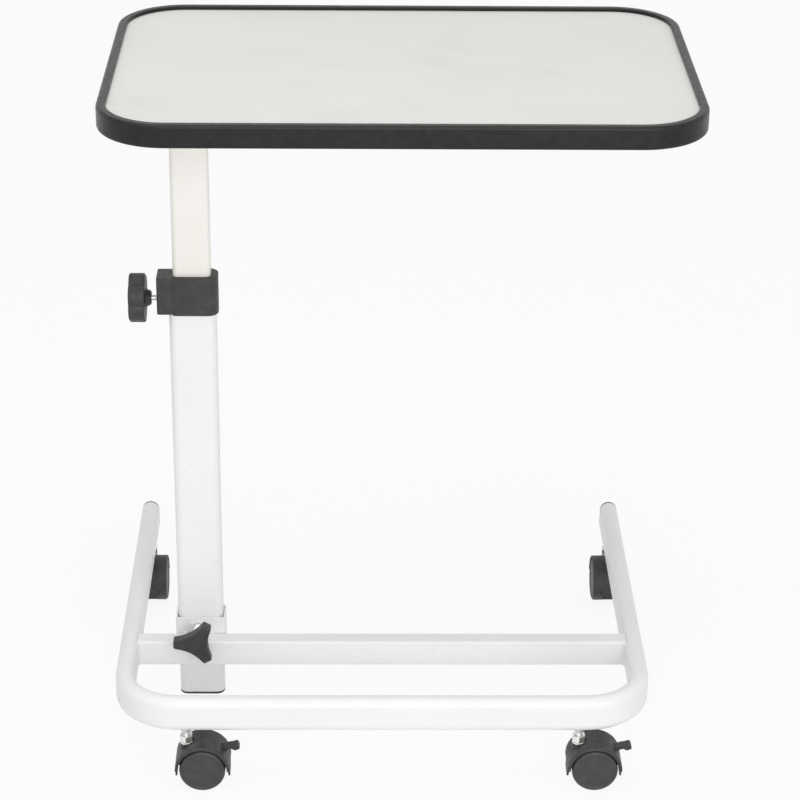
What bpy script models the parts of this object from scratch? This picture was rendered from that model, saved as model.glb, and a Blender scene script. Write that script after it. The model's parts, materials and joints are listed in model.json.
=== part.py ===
"""Overbed table: laminate top on a telescopic column, U base on four twin-wheel casters.

Metres, +Z up. The origin is on the floor, under the middle of the table's overall box.
+X runs along the tabletop, away from the column. +Y runs from the front to the open end of the base.
"""

import math

import bmesh
import bpy
from mathutils import Matrix, Vector

# Fits
SEAT = 0.0003               # gap between pieces that touch
RUNNING = 0.00015           # radial play of a wheel on its axle
SLIDE_PLAY = 0.00035        # play of a sliding tube in its guide, each side

# Tabletop
TABLE_WIDTH = 0.600
TABLE_DEPTH = 0.400
TABLE_HEIGHT = 0.755        # floor to the top of the edge trim, as set in the photograph
TABLE_CORNER = 0.070        # outer corner radius
BOARD_THICKNESS = 0.016
BOARD_REBATE = 0.0006       # step down of the board's rim under the trim's lip
TRIM_SKIN = 0.0037          # thickness of the trim's lips, the upper one from the board's face
TRIM_WALL = 0.0035          # thickness of the trim's outer wall
TRIM_LIP = 0.0095           # width of the lips, wall included
TRIM_ROUND = 0.0034         # rounding of the trim's outer edges

# Support under the board
RAIL_DEPTH = 0.030
RAIL_HEIGHT = 0.020
RAIL_WALL = 0.0015
RAIL_CORNER = 0.003
RAIL_LEFT = 0.048           # from the column's axis to the rail's left end
RAIL_RIGHT = 0.350          # from the column's axis to the rail's right end
STRAP_WIDTH = 0.030
STRAP_LENGTH = 0.260
STRAP_THICKNESS = 0.004
STRAP_CORNER = 0.006
STRAP_INSET = 0.030         # strap's middle from the rail's end
SCREW_INSET = 0.015         # screw from the strap's end
SCREW_RADIUS = 0.002
SCREW_HEAD_RADIUS = 0.004
SCREW_HEAD_FLAT = 0.0028    # radius of the flat on the screw's head
SCREW_HEAD_HEIGHT = 0.0024
SCREW_COVER = 0.005         # board left above the screw's point
PLUG_FLANGE = 0.003         # thickness of the end plugs that show
PLUG_CHAMFER = 0.001
PLUG_SPIGOT = 0.014         # length of the end plugs inside their tubes

# Column
LOWER_WIDTH = 0.050
LOWER_DEPTH = 0.025
LOWER_CORNER = 0.009
LOWER_WALL = 0.0015
LOWER_LENGTH = 0.498
UPPER_GAP_X = 0.0035        # upper tube to the inside of the lower one, each side
UPPER_GAP_Y = 0.001         # the same, front and rear
UPPER_CORNER = 0.006
UPPER_WALL = 0.0015
UPPER_LENGTH = 0.500
COLUMN_LIFT = 0.020         # floor to the underside of the column's end plug
COLUMN_INSET = 0.088        # column's axis from the base's left side
GLIDE_HEIGHT = 0.012

# Clamp collar and star knob
COLLAR_HEIGHT = 0.043
COLLAR_ROOF = 0.008         # collar above the end of the lower tube
COLLAR_WALL = 0.0022
BLOCK_LENGTH = 0.0095       # clamp block beyond the collar's left side
BLOCK_INSET = 0.0010        # clamp block set back from the collar's front and rear
BLOCK_COVER = 0.0047        # collar's front starts here, in from the lower tube's left side
BLOCK_OVERLAP = 0.0040      # clamp block's grip on the collar, along X
CLAMP_RISE = 0.015          # collar's underside to the clamp screw
CLAMP_SCREW_RADIUS = 0.003
CLAMP_NUT_FLATS = 0.010
CLAMP_NUT_HEIGHT = 0.005
CLAMP_STANDOFF = 0.0063     # star knob's hub from the clamp block
TIP_LENGTH = 0.003          # pressure tips of both clamp screws
STAR_RADIUS = 0.027
STAR_NOTCH = 0.0035
STAR_LOBES = 6
STAR_THICKNESS = 0.017
STAR_ROUND = 0.0022
HUB_RADIUS = 0.0075
HUB_LENGTH = 0.0060

# Base
BASE_WIDTH = 0.580
BASE_DEPTH = 0.460          # front of the tube to the end plugs
BASE_OFFSET = -0.016        # base's middle from the tabletop's middle, along X
BASE_SETBACK = 0.010        # base's front from the tabletop's front edge
OVAL_WIDTH = 0.020
OVAL_HEIGHT = 0.040
OVAL_WALL = 0.0015
BEND_RADIUS = 0.062         # centre line of the front bends
BAR_DEPTH = 0.020
BAR_HEIGHT = 0.030
BAR_WALL = 0.0015
BAR_CORNER = 0.0025
BAR_SETBACK = 0.142         # cross bar's middle from the base's front

# Column socket and tri knob
SOCKET_WALL = 0.002
SOCKET_PLAY = 0.0004
SOCKET_CORNER = 0.0025
SOCKET_BRIM = 0.0003        # socket above the weld nut
SOCKET_SCREW_RADIUS = 0.005
SOCKET_NUT_FLATS = 0.016
SOCKET_NUT_HEIGHT = 0.0065
SOCKET_NUT_RISE = 0.0003    # weld nut's lowest corner above the cross bar
TRI_OFFSET = 0.0025         # tri knob's axis left of the column's
TRI_RADIUS = 0.0252         # middle to the blunt ends of the lobes
TRI_WAIST = 0.0120
TRI_TIP = 0.0048            # half the width of a lobe's blunt end
TRI_THICKNESS = 0.012
TRI_ROUND = 0.0025
TRI_STANDOFF = 0.0195       # tri knob's hub from the weld nut
TRI_HUB_RADIUS = 0.0085
TRI_HUB_LENGTH = 0.006

# Casters
CASTER_INSET = 0.007        # front stems from the start of the bends
CASTER_END_GAP = 0.0077     # rear bushes from the arm plugs
REAR_SHIFT = 0.002          # rear stems off the arms' centre lines, towards the middle
CASTER_CLEAR = 0.0127       # hood's top to the underside of the base tube
CASTER_TRAIL = 0.0175       # axle from the stem
WHEEL_RADIUS = 0.025
WHEEL_WIDTH = 0.013
WHEEL_RIM = 0.0035
WHEEL_DISH = 0.0008         # depth of the disc inside the rim
WHEEL_STEPS = 24
AXLE_RADIUS = 0.003
AXLE_BITE = 0.0090          # length of axle in each wheel
FIN_WIDTH = 0.013           # hood between the wheels
FIN_GAP = 0.0005            # wheel's inner face from the fin
FLAP_WIDTH = 0.019          # hood's end flaps
FLAP_DROP = 0.0113          # end flaps below the axle
FLAP_TIP = 0.0019           # thickness of a flap at its foot
FIN_INSET = 0.0004          # fin's rim below the roof's outside
AXLE_BOSS_RADIUS = 0.007
HOOD_GAP = 0.0012           # wheel's tread to the hood's roof
HOOD_WALL = 0.0033
STEM_RADIUS = 0.004
STEM_GRIP = 0.024           # length of stem in the bush
STEM_SOCKET = 0.019         # length of stem in the hood
STEM_FLANGE_RADIUS = 0.007
STEM_FLANGE_HEIGHT = 0.0018
STEM_BOSS_WALL = 0.0028
STEM_BOSS_PROUD = 0.0015    # stem boss above the roof beside it
STEM_RECESS_GAP = 0.0015    # stem's flange to the edge of its recess
LOCK_NUT_FLATS = 0.013
LOCK_NUT_HEIGHT = 0.0075
BUSH_WALL = 0.002
BUSH_LENGTH = 0.026
BUSH_PROUD = 0.001          # bush below the tube
LEVER_SINK = 0.0035         # brake pivot below the hood's surface
LEVER_BEARING = 42.0        # degrees of the pivot above the horizontal
LEVER_REST = 20.0           # degrees of the lever above the horizontal
LEVER_PRESS = 14.0          # degrees of travel
LEVER_LENGTH = 0.0205
LEVER_THICKNESS = 0.005
LEVER_NIB = 0.0026          # drop of the lever's turned-down tip
LEVER_NIB_LENGTH = 0.0025   # half the length of that tip
LEVER_CHEEK = 0.0023        # fin on each side of the lever
TRUNNION_RADIUS = 0.0018
TRUNNION_LENGTH = 0.0014
FRONT_YAW = 0.0             # degrees, as the casters stand in the photograph
REAR_LEFT_YAW = -90.0
REAR_RIGHT_YAW = -89.0

# Facet counts and the angle of an edge that is shaded sharp
CORNER_STEPS = 5
SMALL_CORNER_STEPS = 2
TABLE_CORNER_STEPS = 8
OVAL_STEPS = 6
BEND_STEPS = 7
ROUND_STEPS = 16
LOBE_STEPS = 8
TRI_STEPS = 72
HOOD_STEPS = 18
NUT_STEPS = 12
END_STEPS = 6
SHARP_EDGE = 35.0

# Heights worked out from the sizes
TRIM_HEIGHT = BOARD_THICKNESS + 2 * (TRIM_SKIN + SEAT)
BOARD_TOP = TABLE_HEIGHT - TRIM_SKIN - SEAT
BOARD_BOTTOM = BOARD_TOP - BOARD_THICKNESS
STRAP_TOP = BOARD_BOTTOM - SEAT
STRAP_BOTTOM = STRAP_TOP - STRAP_THICKNESS
RAIL_TOP = STRAP_BOTTOM - SEAT
RAIL_BOTTOM = RAIL_TOP - RAIL_HEIGHT
SCREW_POINT = BOARD_TOP - SCREW_COVER
UPPER_TOP = RAIL_BOTTOM - SEAT
UPPER_BOTTOM = UPPER_TOP - UPPER_LENGTH
LOWER_BOTTOM = COLUMN_LIFT + PLUG_FLANGE + SEAT
LOWER_TOP = LOWER_BOTTOM + LOWER_LENGTH
COLLAR_TOP = LOWER_TOP + SEAT + COLLAR_ROOF
COLLAR_BOTTOM = COLLAR_TOP - COLLAR_HEIGHT
CLAMP_Z = COLLAR_BOTTOM + CLAMP_RISE
AXLE_Z = WHEEL_RADIUS * math.cos(math.pi / WHEEL_STEPS)
ROOF_RADIUS = WHEEL_RADIUS + HOOD_GAP + HOOD_WALL
CASTER_HEIGHT = AXLE_Z + ROOF_RADIUS + CASTER_CLEAR
STEM_BOSS_TOP = AXLE_Z + math.sqrt(ROOF_RADIUS**2 - CASTER_TRAIL**2) + STEM_BOSS_PROUD
OVAL_Z = CASTER_HEIGHT + OVAL_HEIGHT / 2
BAR_BOTTOM = OVAL_Z - BAR_HEIGHT / 2
BAR_TOP = OVAL_Z + BAR_HEIGHT / 2
SOCKET_NUT_CORNER = SOCKET_NUT_FLATS / math.sqrt(3)
LOBE_BISECTOR = math.pi / 3  # middle of a lobe to the middle of a hollow
TRI_Z = BAR_TOP + SOCKET_NUT_RISE + SOCKET_NUT_CORNER
SOCKET_TOP = TRI_Z + SOCKET_NUT_CORNER + SOCKET_BRIM

# Sizes worked out from what a piece fits
UPPER_WIDTH = LOWER_WIDTH - 2 * (LOWER_WALL + UPPER_GAP_X)
UPPER_DEPTH = LOWER_DEPTH - 2 * (LOWER_WALL + UPPER_GAP_Y)
BUSH_RADIUS = STEM_RADIUS + BUSH_WALL
LEVER_WIDTH = FIN_WIDTH - 2 * LEVER_CHEEK

# Places across the floor: the overall box is centred on the origin
WHEEL_INNER = FIN_WIDTH / 2 + FIN_GAP
CASTER_HALF = WHEEL_INNER + WHEEL_WIDTH
REAR_STEM_X = BASE_WIDTH / 2 - OVAL_WIDTH / 2 - REAR_SHIFT
REACH_LEFT = min(-TABLE_WIDTH / 2, BASE_OFFSET - BASE_WIDTH / 2, BASE_OFFSET - REAR_STEM_X - CASTER_HALF)
REACH_RIGHT = max(TABLE_WIDTH / 2, BASE_OFFSET + BASE_WIDTH / 2)
REACH_FRONT = min(0.0, BASE_SETBACK + OVAL_WIDTH / 2 - CASTER_HALF)
REACH_REAR = max(TABLE_DEPTH, BASE_SETBACK + BASE_DEPTH)
TABLE_X = -(REACH_LEFT + REACH_RIGHT) / 2
TABLE_FRONT = -(REACH_FRONT + REACH_REAR) / 2
TABLE_Y = TABLE_FRONT + TABLE_DEPTH / 2
BASE_X = TABLE_X + BASE_OFFSET
BASE_LEFT = BASE_X - BASE_WIDTH / 2
BASE_FRONT = TABLE_FRONT + BASE_SETBACK
BASE_REAR = BASE_FRONT + BASE_DEPTH
ARM_END = BASE_REAR - PLUG_FLANGE - SEAT
ARM_X = BASE_WIDTH / 2 - OVAL_WIDTH / 2
FRONT_Y = BASE_FRONT + OVAL_WIDTH / 2
BAR_Y = BASE_FRONT + BAR_SETBACK
SOCKET_FRONT = BAR_Y + BAR_DEPTH / 2 + SEAT
COLUMN_X = BASE_LEFT + COLUMN_INSET
TRI_X = COLUMN_X - TRI_OFFSET
COLUMN_Y = SOCKET_FRONT + SOCKET_WALL + SOCKET_PLAY + LOWER_DEPTH / 2

# Colour, roughness and metallic value of each finish
WHITE_PAINT = ((0.84, 0.84, 0.83), 0.32, 0.0)
IVORY_PAINT = ((0.86, 0.85, 0.81), 0.34, 0.0)
LAMINATE = ((0.76, 0.76, 0.73), 0.42, 0.0)
BLACK_TRIM = ((0.018, 0.018, 0.020), 0.38, 0.0)
BLACK_PLASTIC = ((0.045, 0.045, 0.047), 0.55, 0.0)
WHEEL_PLASTIC = ((0.040, 0.040, 0.043), 0.50, 0.0)
ZINC = ((0.70, 0.70, 0.69), 0.30, 1.0)
STEEL = ((0.62, 0.62, 0.62), 0.35, 1.0)
NYLON = ((0.80, 0.79, 0.75), 0.50, 0.0)


def finish_material(name, finish):
    color, roughness, metallic = finish
    material = bpy.data.materials.new(name + "_finish")
    material.use_nodes = True
    shader = material.node_tree.nodes["Principled BSDF"]
    shader.inputs["Base Color"].default_value = (*color, 1.0)
    shader.inputs["Roughness"].default_value = roughness
    shader.inputs["Metallic"].default_value = metallic
    return material


def add_object(name, bm, finish=None, location=(0, 0, 0), parent=None):
    bmesh.ops.recalc_face_normals(bm, faces=bm.faces)
    mesh = bpy.data.meshes.new(name)
    bm.to_mesh(mesh)
    bm.free()
    mesh.shade_smooth()
    mesh.set_sharp_from_angle(angle=math.radians(SHARP_EDGE))
    obj = bpy.data.objects.new(name, mesh)
    bpy.context.scene.collection.objects.link(obj)
    obj.location = location
    obj.parent = parent
    if finish:
        mesh.materials.append(finish_material(name, finish))
    return obj


def add_empty(name, location, yaw=0.0, parent=None):
    empty = bpy.data.objects.new(name, None)
    bpy.context.scene.collection.objects.link(empty)
    empty.location = location
    empty.rotation_euler = (0, 0, math.radians(yaw))
    empty.parent = parent
    return empty


def boolean(obj, other, operation="DIFFERENCE"):
    other.hide_render = True
    other.display_type = "WIRE"
    modifier = obj.modifiers.new(other.name, "BOOLEAN")
    modifier.operation = operation
    modifier.solver = "EXACT"
    modifier.object = other


def arc(cx, cy, radius, start, end, steps):
    turn = math.radians(end - start) / steps
    first = math.radians(start)
    return [
        (cx + radius * math.cos(first + turn * i), cy + radius * math.sin(first + turn * i))
        for i in range(steps + 1)
    ]


def rounded_rect(width, depth, radius, steps=CORNER_STEPS):
    x = width / 2 - radius
    y = depth / 2 - radius
    outline = []
    for sx, sy, start in ((1, 1, 0), (-1, 1, 90), (-1, -1, 180), (1, -1, 270)):
        outline += arc(sx * x, sy * y, radius, start, start + 90, steps)
    return outline


def inset_rect(width, depth, corner, inset, steps=CORNER_STEPS):
    """A rounded rectangle drawn in on each side, or out for a negative inset, and its corners with it."""
    return rounded_rect(width - 2 * inset, depth - 2 * inset, max(corner - inset, SEAT), steps)


def oval(width, height):
    half = height / 2 - width / 2
    return arc(0, half, width / 2, 0, 180, OVAL_STEPS) + arc(0, -half, width / 2, 180, 360, OVAL_STEPS)


def circle(radius, steps=ROUND_STEPS, turn=0.0):
    return arc(0, 0, radius, turn, turn + 360, steps)[:-1]


def hexagon(flats):
    return circle(flats / math.sqrt(3), 6, 30)


def nut_outline(flats):
    """A hexagon with a point in the middle of each side, to pair with a bore of NUT_STEPS points."""
    corners = hexagon(flats)
    outline = []
    for corner, following in zip(corners, corners[1:] + corners[:1]):
        outline.append(corner)
        outline.append(((corner[0] + following[0]) / 2, (corner[1] + following[1]) / 2))
    return outline


def nut_mesh(flats, screw_radius, z0, z1):
    return tube(nut_outline(flats), circle(screw_radius + SEAT, NUT_STEPS, 30), z0, z1)


def skin(loops, closed):
    """Faces between successive loops; closed joins the last to the first, or else both ends are capped."""
    bm = bmesh.new()
    rings = [[bm.verts.new(point) for point in loop] for loop in loops]
    pairs = list(zip(rings, rings[1:]))
    if closed:
        pairs.append((rings[-1], rings[0]))
    else:
        bm.faces.new(list(reversed(rings[0])))
        bm.faces.new(rings[-1])
    for low, high in pairs:
        for i in range(len(low)):
            j = (i + 1) % len(low)
            bm.faces.new((low[i], low[j], high[j], high[i]))
    return bm


def at_height(outline, z):
    return [(x, y, z) for x, y in outline]


def prism(outline, z0, z1):
    return skin([at_height(outline, z0), at_height(outline, z1)], closed=False)


def tube(outer, inner, z0, z1):
    loops = [at_height(outer, z0), at_height(outer, z1), at_height(inner, z1), at_height(inner, z0)]
    return skin(loops, closed=True)


def stack(*levels):
    """A solid of outlines at rising heights, given as (outline, height)."""
    return skin([at_height(outline, z) for outline, z in levels], closed=False)


def scaled(outline, inset):
    """The outline with every point moved towards the middle by the inset."""
    moved = []
    for x, y in outline:
        radius = math.hypot(x, y)
        share = (radius - inset) / radius
        moved.append((x * share, y * share))
    return moved


def lathe(profile, steps=ROUND_STEPS, turn=0.0):
    """A profile of (radius, z) points spun round Z."""
    bm = bmesh.new()
    start = Matrix.Rotation(turn, 3, "Z")
    points = [bm.verts.new(start @ Vector((radius, 0, z))) for radius, z in profile]
    edges = [bm.edges.new(pair) for pair in zip(points, points[1:])]
    bmesh.ops.spin(
        bm,
        geom=points + edges,
        cent=(0, 0, 0),
        axis=(0, 0, 1),
        angle=2 * math.pi,
        steps=steps,
        use_merge=True,
    )
    bmesh.ops.remove_doubles(bm, verts=bm.verts, dist=1e-6)
    return bm


def turned(bm, angle, axis):
    matrix = Matrix.Rotation(math.radians(angle), 3, axis)
    bmesh.ops.rotate(bm, cent=(0, 0, 0), matrix=matrix, verts=bm.verts)
    return bm


def along_x(bm):
    """Turns a solid built along +Z to point along +X."""
    return turned(bm, 90, "Y")


def along_y(bm):
    """Turns a solid built along +Z to point along +Y, its own +Y then pointing down."""
    return turned(bm, -90, "X")


def cutter(name, bm, location=(0, 0, 0), parent=None):
    return add_object(name + "_cutter", bm, None, location, parent)


def plug(name, outer, inner, location, rotation=(0, 0, 0)):
    """An end plug along +Z: a flange below the origin and a spigot above it."""
    bm = stack(
        (scaled(outer, PLUG_CHAMFER), -PLUG_FLANGE),
        (outer, PLUG_CHAMFER - PLUG_FLANGE),
        (outer, 0.0),
        (inner, 0.0),
        (inner, PLUG_SPIGOT),
    )
    obj = add_object(name, bm, BLACK_PLASTIC, location)
    obj.rotation_euler = rotation


def base_route():
    """Stations of the U tube's centre line in plan: (x, y, direction of the section's width)."""
    bend_x = ARM_X - BEND_RADIUS
    bend_y = FRONT_Y + BEND_RADIUS
    left = arc(-bend_x, bend_y, BEND_RADIUS, 180, 270, BEND_STEPS)
    right = arc(bend_x, bend_y, BEND_RADIUS, 270, 360, BEND_STEPS)
    stations = [(-ARM_X, ARM_END, 180.0)]
    for points, start in ((left, 180.0), (right, 270.0)):
        for i, (x, y) in enumerate(points):
            stations.append((x, y, start + 90.0 * i / BEND_STEPS))
    stations.append((ARM_X, ARM_END, 360.0))
    return stations


def swept_loop(station, section):
    x, y, heading = station
    out = Vector((math.cos(math.radians(heading)), math.sin(math.radians(heading))))
    return [(x + out.x * u, y + out.y * u, v) for u, v in section]


def caster_places():
    """Stem positions and yaw of the four casters."""
    half = ARM_X - BEND_RADIUS - CASTER_INSET
    rear_y = ARM_END - PLUG_SPIGOT - CASTER_END_GAP - BUSH_RADIUS
    return (
        ("front_left", BASE_X - half, FRONT_Y, FRONT_YAW),
        ("front_right", BASE_X + half, FRONT_Y, FRONT_YAW),
        ("rear_left", BASE_X - REAR_STEM_X, rear_y, REAR_LEFT_YAW),
        ("rear_right", BASE_X + REAR_STEM_X, rear_y, REAR_RIGHT_YAW),
    )


def build_base():
    outer = oval(OVAL_WIDTH, OVAL_HEIGHT)
    inner = oval(OVAL_WIDTH - 2 * OVAL_WALL, OVAL_HEIGHT - 2 * OVAL_WALL)
    stations = base_route()
    loops = [swept_loop(station, outer) for station in stations]
    loops += [swept_loop(station, inner) for station in reversed(stations)]
    frame = add_object("base_frame", skin(loops, closed=True), WHITE_PAINT, (BASE_X, 0, OVAL_Z))
    for place, x, y, yaw in caster_places():
        hole = prism(circle(BUSH_RADIUS + SEAT), -OVAL_WALL, OVAL_HEIGHT / 2)
        boolean(frame, cutter("bush_hole_" + place, hole, (x, y, CASTER_HEIGHT)))
        bush = tube(circle(BUSH_RADIUS), circle(STEM_RADIUS + SEAT), -BUSH_PROUD, BUSH_LENGTH - BUSH_PROUD)
        add_object("caster_bush_" + place, bush, STEEL, (x, y, CASTER_HEIGHT))

    spigot = oval(OVAL_WIDTH - 2 * (OVAL_WALL + SEAT), OVAL_HEIGHT - 2 * (OVAL_WALL + SEAT))
    for side, x in (("left", BASE_X - ARM_X), ("right", BASE_X + ARM_X)):
        end = (x, ARM_END + SEAT, OVAL_Z)
        plug("arm_plug_" + side, outer, spigot, end, (math.pi / 2, 0, 0))

    bar_length = BASE_WIDTH - 2 * (OVAL_WIDTH + SEAT)
    bar_outer = rounded_rect(BAR_HEIGHT, BAR_DEPTH, BAR_CORNER, SMALL_CORNER_STEPS)
    bar_inner = inset_rect(BAR_HEIGHT, BAR_DEPTH, BAR_CORNER, BAR_WALL, SMALL_CORNER_STEPS)
    bar = along_x(tube(bar_outer, bar_inner, -bar_length / 2, bar_length / 2))
    add_object("cross_bar", bar, WHITE_PAINT, (BASE_X, BAR_Y, OVAL_Z))


def tri_outline():
    """Three blunt lobes joined by hollow arcs, one lobe pointing along -X."""
    along = TRI_RADIUS / 2 + TRI_TIP * math.sin(LOBE_BISECTOR)
    centre = (TRI_RADIUS**2 + TRI_TIP**2 - TRI_WAIST**2) / (2 * (along - TRI_WAIST))
    hollow = centre - TRI_WAIST
    points = []
    for i in range(TRI_STEPS):
        turn = 2 * math.pi * i / TRI_STEPS
        bearing = LOBE_BISECTOR - abs(turn % (2 * LOBE_BISECTOR) - LOBE_BISECTOR)
        away = centre * math.cos(LOBE_BISECTOR - bearing)
        radius = TRI_RADIUS / math.cos(bearing)
        if math.tan(bearing) > TRI_TIP / TRI_RADIUS:
            radius = away - math.sqrt(away**2 - centre**2 + hollow**2)
        points.append((-radius * math.cos(turn), -radius * math.sin(turn)))
    return points


def build_socket():
    column_face = SOCKET_WALL + SOCKET_PLAY
    width = LOWER_WIDTH + 2 * column_face
    depth = LOWER_DEPTH + 2 * column_face
    outer = rounded_rect(width, depth, SOCKET_CORNER, SMALL_CORNER_STEPS)
    inner = inset_rect(width, depth, SOCKET_CORNER, SOCKET_WALL, SMALL_CORNER_STEPS)
    sleeve = tube(outer, inner, BAR_BOTTOM, SOCKET_TOP)
    socket = add_object("column_socket", sleeve, WHITE_PAINT, (COLUMN_X, COLUMN_Y, 0))

    screw_bore = circle(SOCKET_SCREW_RADIUS + SEAT)
    face = (TRI_X, SOCKET_FRONT, TRI_Z)
    hole = along_y(prism(screw_bore, -SOCKET_WALL, LOWER_DEPTH / 2))
    boolean(socket, cutter("socket_hole", hole, face))

    nut = nut_mesh(SOCKET_NUT_FLATS, SOCKET_SCREW_RADIUS, -SEAT - SOCKET_NUT_HEIGHT, -SEAT)
    add_object("socket_weld_nut", along_y(nut), WHITE_PAINT, face)

    tip_end = column_face - SEAT
    tip = along_y(prism(circle(SOCKET_SCREW_RADIUS), tip_end - TIP_LENGTH, tip_end))
    add_object("socket_screw_tip", tip, NYLON, face)

    knob_face = -SEAT - SOCKET_NUT_HEIGHT - TRI_STANDOFF
    bore_end = knob_face - TRI_HUB_LENGTH - TRI_THICKNESS / 2
    stud = along_y(prism(circle(SOCKET_SCREW_RADIUS), bore_end + SEAT, tip_end - TIP_LENGTH - SEAT))
    add_object("socket_knob_stud", stud, ZINC, face)

    lobes = tri_outline()
    hub = circle(TRI_HUB_RADIUS, TRI_STEPS, 180)
    back = knob_face - TRI_HUB_LENGTH
    front = back - TRI_THICKNESS
    body = stack(
        (scaled(lobes, TRI_ROUND), front),
        (lobes, front + TRI_ROUND),
        (lobes, back - TRI_ROUND / 2),
        (scaled(lobes, TRI_ROUND / 2), back),
        (hub, back),
        (hub, knob_face),
    )
    knob = add_object("socket_knob", along_y(body), BLACK_PLASTIC, face)
    bore = along_y(prism(screw_bore, bore_end, knob_face + TRI_HUB_LENGTH))
    boolean(knob, cutter("socket_knob_bore", bore, face))


def build_column():
    axis = (COLUMN_X, COLUMN_Y, 0)
    lower_outer = rounded_rect(LOWER_WIDTH, LOWER_DEPTH, LOWER_CORNER)
    lower_inner = inset_rect(LOWER_WIDTH, LOWER_DEPTH, LOWER_CORNER, LOWER_WALL)
    lower_tube = tube(lower_outer, lower_inner, LOWER_BOTTOM, LOWER_TOP)
    lower = add_object("lower_column", lower_tube, WHITE_PAINT, axis)
    screw_bore = circle(CLAMP_SCREW_RADIUS + SEAT)
    hole = along_x(prism(screw_bore, -LOWER_WIDTH, 0.0))
    boolean(lower, cutter("clamp_hole", hole, (COLUMN_X, COLUMN_Y, CLAMP_Z)))

    spigot = inset_rect(LOWER_WIDTH, LOWER_DEPTH, LOWER_CORNER, LOWER_WALL + SEAT)
    plug("column_end_plug", lower_outer, spigot, (COLUMN_X, COLUMN_Y, LOWER_BOTTOM - SEAT))

    upper_outer = rounded_rect(UPPER_WIDTH, UPPER_DEPTH, UPPER_CORNER)
    upper_inner = inset_rect(UPPER_WIDTH, UPPER_DEPTH, UPPER_CORNER, UPPER_WALL)
    add_object("upper_column", tube(upper_outer, upper_inner, UPPER_BOTTOM, UPPER_TOP), IVORY_PAINT, axis)

    glide = inset_rect(LOWER_WIDTH, LOWER_DEPTH, LOWER_CORNER, LOWER_WALL + SLIDE_PLAY)
    stub = inset_rect(UPPER_WIDTH, UPPER_DEPTH, UPPER_CORNER, UPPER_WALL + SEAT)
    seat = UPPER_BOTTOM - SEAT
    glide_body = stack(
        (glide, seat - GLIDE_HEIGHT),
        (glide, seat),
        (stub, seat),
        (stub, seat + PLUG_SPIGOT),
    )
    add_object("column_glide", glide_body, NYLON, axis)


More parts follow.
